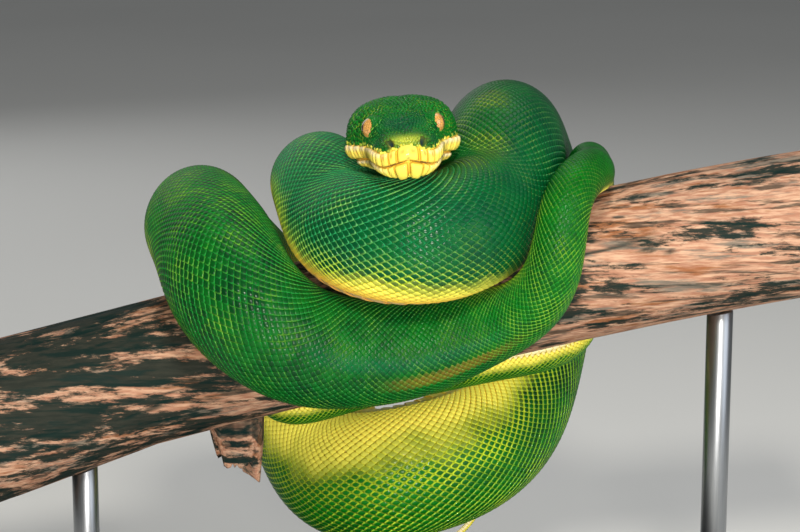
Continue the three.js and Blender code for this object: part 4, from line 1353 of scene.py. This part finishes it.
# Weathered wood: dull, streaked pink and ochre fibres that darken into the grooves.
def makeWoodMaterial():
    s = perchWood
    material, tree = newMaterial("weatheredBranchWood")
    groove, cut, pith = fieldsOf(tree, "groove", "cutEnd", "pith")
    fibre, streak, patch, char = (
        noiseOf(tree, scale, detail, roughness, (stretch, 1, 1), (0, s["grainTilt"], 0))
        for stretch, scale, detail, roughness in s["grain"])
    place = addNode(tree, "ShaderNodeTexCoord").outputs["Object"]
    lengthwise = addNode(tree, "ShaderNodeSeparateXYZ", None, {0: place}).outputs[0]
    patch = mathOf(tree, "ADD", patch, ramp(tree, lengthwise, -0.03, -0.1, s["darkerLeft"]))
    color = layered(tree, s["pink"], (fibre, 0.35, 0.68, 1.0, s["light"]),
                    (streak, 0.52, 0.62, 0.7, s["grey"]), (streak, 0.46, 0.34, 0.75, s["ochre"]),
                    (char, 0.53, 0.62, 0.75, s["dark"]), (patch, 0.505, 0.57, 0.95, s["dark"]),
                    (groove, 0.15, 0.7, 0.85, s["dark"]))
    rings = mathOf(tree, "SINE", mathOf(tree, "MULTIPLY", pith, s["ringsPerMm"]))
    end = layered(tree, s["endGrain"], (rings, 0.2, 0.95, 0.6, s["core"]))
    color = mixColors(tree, cut, color, end)
    return finishMaterial(material, tree, color, {"Roughness": 0.82, "Specular IOR Level": 0.12},
                          (0.5, 0.0003, fibre))


def woodGroove(points):
    value = np.empty(len(points))
    for k, (x, y, z) in enumerate(points):
        fine = noise.noise(Vector((x / 46, y / 3.4, z / 3.4)))
        broad = noise.noise(Vector((x / 60 + 7, y / 11, z / 11)))
        value[k] = 0.7 * max(1 - abs(fine) / 0.16, 0) * (0.4 + max(broad, 0)) + 0.35 * max(broad, 0)
    return value


def buildPerch(material):
    s = perchWood
    x = np.linspace(-perch["halfLength"], perch["halfLength"], s["rings"])[:, None]
    angle = turnsRound(s["around"])[None, :]
    knot = 0.5 + 0.25 * np.sin(3 * angle + x / 31) + 0.25 * np.sin(2 * angle - x / 47)
    tilt = np.arctan(perchTilt(x))
    core = perch["radius"] + perchSwell(x) - 0.9 * knot - 0.15
    flat = np.stack([x + 0 * angle, core * np.sin(angle), core * np.cos(angle)], axis=-1)
    groove = woodGroove(flat.reshape(-1, 3)).reshape(core.shape)
    ends = smoothStep(1.2, 0, perch["halfLength"] - np.abs(x))
    reach = core - s["groove"] * groove - 0.8 * ends

    def ringAt(x, tilt, reach):
        up = reach * np.cos(angle)
        return np.stack([x - up * np.sin(tilt), reach * np.sin(angle) + 0 * x,
                         perch["height"] + perchAxis(x) + up * np.cos(tilt)], axis=-1)

    shares = np.linspace(0.96, 0.06, s["capRings"])[:, None]
    left, right = (ringAt(x[[k]], tilt[[k]], reach[[k]] * shares) for k in (0, -1))
    grid = np.concatenate([left[::-1], ringAt(x, tilt, reach), right])
    centres = [ringAt(x[[k]], tilt[[k]], 0 * reach[[k]])[0, :1] for k in (0, -1)]
    points = np.vstack([grid.reshape(-1, 3), *centres])
    cut = np.zeros(grid.shape[:2])
    cut[:s["capRings"]] = cut[-s["capRings"]:] = 1
    pith = np.concatenate([reach[:1] * shares[::-1], reach, reach[-1:] * shares])
    groove = np.pad(groove, ((s["capRings"], s["capRings"]), (0, 0)))
    fields = {"groove": np.r_[groove.ravel(), 0, 0], "cutEnd": np.r_[cut.ravel(), 1, 1],
              "pith": np.r_[pith.ravel(), 0, 0]}
    mesh = makeMesh("perchBranch", points, cappedFaces(*grid.shape[:2]), fields)
    addPiece("perchBranch", mesh, material, ["perch"])


def buildStub(material):
    s = stub
    share = np.r_[np.linspace(0.3, 1, s["rings"]), 0.97, 0.93, 0.9][:, None]
    inward = np.r_[np.ones(s["rings"]), 0.8, 0.5, 0.2][:, None]
    angle = turnsRound(s["around"])[None, :]
    tear = (s["tearHeight"] * np.sin(s["teeth"] * angle)
            + s["splinterHeight"] * np.cos(s["splinters"] * angle) - s["slant"] * np.cos(angle))
    fibres = 0.5 * np.sin(23 * angle) + 0.4 * np.sin(31 * angle + 1)
    radius = s["radius"] * (1 - s["taper"] * share ** 2) - 0.25 - 0.3 * np.abs(fibres)
    x = s["x"] + radius * inward * np.cos(angle) - s["lean"] * share
    y = s["y"] + radius * inward * 0.8 * np.sin(angle)
    level = perch["height"] + float(perchAxis(s["x"])) - s["rootDepth"]
    z = level + share * (tear + fibres * share - s["length"] + s["rootDepth"])
    points, faces = closedTube(np.stack([x, y, z], axis=-1))
    groove = np.r_[(0.5 * np.abs(fibres) * share + 0.5 * (share < 0.6)).ravel(), 0, 0.6]
    fields = {"groove": groove, "cutEnd": 0 * groove, "pith": 0 * groove}
    mesh = makeMesh("tornBranch", points, faces, fields)
    addPiece("tornBranch", mesh, material, ["perch_stub"])


wood = makeWoodMaterial()
buildPerch(wood)
buildStub(wood)
print("perch made")

# Stand: a painted wooden base and two steel rods.
standBase = {"length": 300.0, "depth": 190.0, "height": 12.0, "corner": 16.0, "round": 1.8,
             "paint": "#2a2b2d", "worn": "#34363a"}
# The profile runs up a rod: share of its radius, share of its height, and rise in mm.
standRod = {"radius": 5.0, "spread": 122.0, "gap": 0.3, "around": 48, "steel": "#8f9295",
            "bright": "#a4a7a9",
            "profile": ((0.4, 0, 0), (0.94, 0, 0), (1, 0, 0.3), (1, 0.5, 0), (1, 1, -0.3),
                        (0.94, 1, 0), (0.4, 1, 0))}


# Satin paint: dark and quiet, with a faint grain as of wood beneath. Brushed steel: fine
# streaks along the rod that draw out its glints.
def makeStandMaterials():
    material, tree = newMaterial("satinPaintedWood")
    grain = noiseOf(tree, 700.0, 3.0, stretch=(0.06, 1, 1))
    color = layered(tree, standBase["paint"], (grain, 0.35, 0.7, 0.5, standBase["worn"]))
    paint = finishMaterial(material, tree, color, {"Roughness": 0.45}, (0.2, 0.0001, grain))
    material, tree = newMaterial("brushedSteelRod")
    brush = noiseOf(tree, 3000.0, stretch=(1, 1, 0.02))
    color = layered(tree, standRod["steel"], (brush, 0.3, 0.7, 0.5, standRod["bright"]))
    finish = {"Metallic": 1.0, "Roughness": 0.34}
    return paint, finishMaterial(material, tree, color, finish, (0.15, 0.00005, brush))


def buildStand():
    paint, steel = makeStandMaterials()
    s = standBase
    half = np.array([s["length"] / 2, s["depth"] / 2])
    turn = np.radians(np.arange(0, 90.1, 7.5))
    quarters = ((0, 1, 1), (np.pi / 2, -1, 1), (np.pi, -1, -1), (1.5 * np.pi, 1, -1))
    outline = np.vstack([
        np.stack([sx * (half[0] - s["corner"]) + s["corner"] * np.cos(turn + quarter),
                  sy * (half[1] - s["corner"]) + s["corner"] * np.sin(turn + quarter)], axis=-1)
        for quarter, sx, sy in quarters])
    out = unit(outline - np.sign(outline) * (half - s["corner"]))
    bend = np.radians(np.linspace(0, 90, 7))
    inset = np.r_[0.8, 0.3, 0, s["round"] * (1 - np.cos(bend)), 3.0, 6.0]
    height = np.r_[0, 0.15, 0.8, s["height"] - s["round"] * (1 - np.sin(bend)),
                   s["height"], s["height"]]
    points, faces = closedTube(np.stack([
        np.column_stack([outline - out * i, np.full(len(outline), h)])
        for i, h in zip(inset, height)]))
    mesh = makeMesh("paintedBase", points, faces)
    addPiece("paintedBase", mesh, paint, ["stand_base"])
    s = standRod
    angle = turnsRound(s["around"])
    out, y = s["radius"] * np.cos(angle), s["radius"] * np.sin(angle)
    foot = standBase["height"] + s["gap"]
    for side, middle in (("left", s["spread"]), ("right", -s["spread"])):
        x = middle + out
        level = 1 / np.hypot(1, perchTilt(x))
        saddle = perch["radius"] + perchSwell(x) + s["gap"]
        top = perch["height"] + perchAxis(x) - np.sqrt(saddle ** 2 - y ** 2) / level
        rings = [np.stack([middle + out * share, y * share, foot + (top - foot) * rise + lift],
                          axis=-1) for share, rise, lift in s["profile"]]
        mesh = makeMesh(side + "Rod", *closedTube(np.stack(rings)))
        addPiece(side + "Rod", mesh, steel, ["stand_rod_" + side])


buildStand()
print("stand made")


# A matt floor: pale and nearly even, so that the shadows read.
def makeFloorMaterial():
    material, tree = newMaterial("mattStudioFloor")
    cloud = noiseOf(tree, studio["cloudScale"])
    color = layered(tree, studio["floor"], (cloud, 0.3, 0.7, 0.3, studio["floorShade"]))
    return finishMaterial(material, tree, color, {"Roughness": 0.9})


studio = {"floorHalf": 14000.0, "world": "#e3e6e8", "worldStrength": 0.22,
          "floor": "#d6d6d3", "floorShade": "#cbcbc8", "cloudScale": 1.5,
          "lightTarget": (0, 0, 0.17)}
lights = {
    "keyLight": {"at": (0.05, -1.0, 0.9), "size": 0.18, "watts": 10.5, "color": "#fffaf0"},
    "frontLight": {"at": (0.08, -1.2, 0.34), "size": 0.3, "watts": 11.0, "color": "#fffaf4"},
    "fillLight": {"at": (0.9, -0.7, 0.5), "size": 0.9, "watts": 5.0, "color": "#eef4ff"},
    "topLight": {"at": (0.1, 0.3, 1.3), "size": 0.8, "watts": 4.0, "color": "#ffffff"},
    "backLight": {"at": (-0.6, 1.1, 0.8), "size": 1.2, "watts": 3.0, "color": "#ffffff"},
}
camera = {"lens": 100.0, "sensor": 36.0, "elevation": 12.0, "at": (0.0, -0.8251, 0.3421)}


def buildStage():
    half = studio["floorHalf"]
    points = [(-half, -half, 0), (half, -half, 0), (half, half, 0), (-half, half, 0)]
    mesh = makeMesh("studioFloor", points, [np.array([(0, 1, 2, 3)])], smooth=False)
    mesh.materials.append(makeFloorMaterial())
    floor = newObject("studioFloor", mesh)
    world = bpy.data.worlds.new("studioWorld")
    world.use_nodes = True
    background = world.node_tree.nodes["Background"].inputs
    background["Color"].default_value = linear(studio["world"])
    background["Strength"].default_value = studio["worldStrength"]
    bpy.context.scene.world = world
    target = Vector(studio["lightTarget"])
    for name, light in lights.items():
        lamp = bpy.data.lights.new(name, "AREA")
        lamp.shape = "DISK"
        lamp.size = light["size"]
        lamp.energy = light["watts"]
        lamp.color = linear(light["color"])[:3]
        stand = newObject(name, lamp)
        stand.location = light["at"]
        stand.rotation_euler = (target - Vector(light["at"])).to_track_quat("-Z", "Y").to_euler()
    view = bpy.data.cameras.new("mainCamera")
    view.lens, view.sensor_width = camera["lens"], camera["sensor"]
    view.clip_start, view.clip_end = 0.02, 60
    holder = newObject("mainCamera", view)
    holder.location = camera["at"]
    holder.rotation_euler = (math.radians(90 - camera["elevation"]), 0, 0)
    bpy.context.scene.camera = holder
    bpy.context.scene.view_settings.view_transform = "Standard"


buildStage()
print("stage, lights and camera ready")
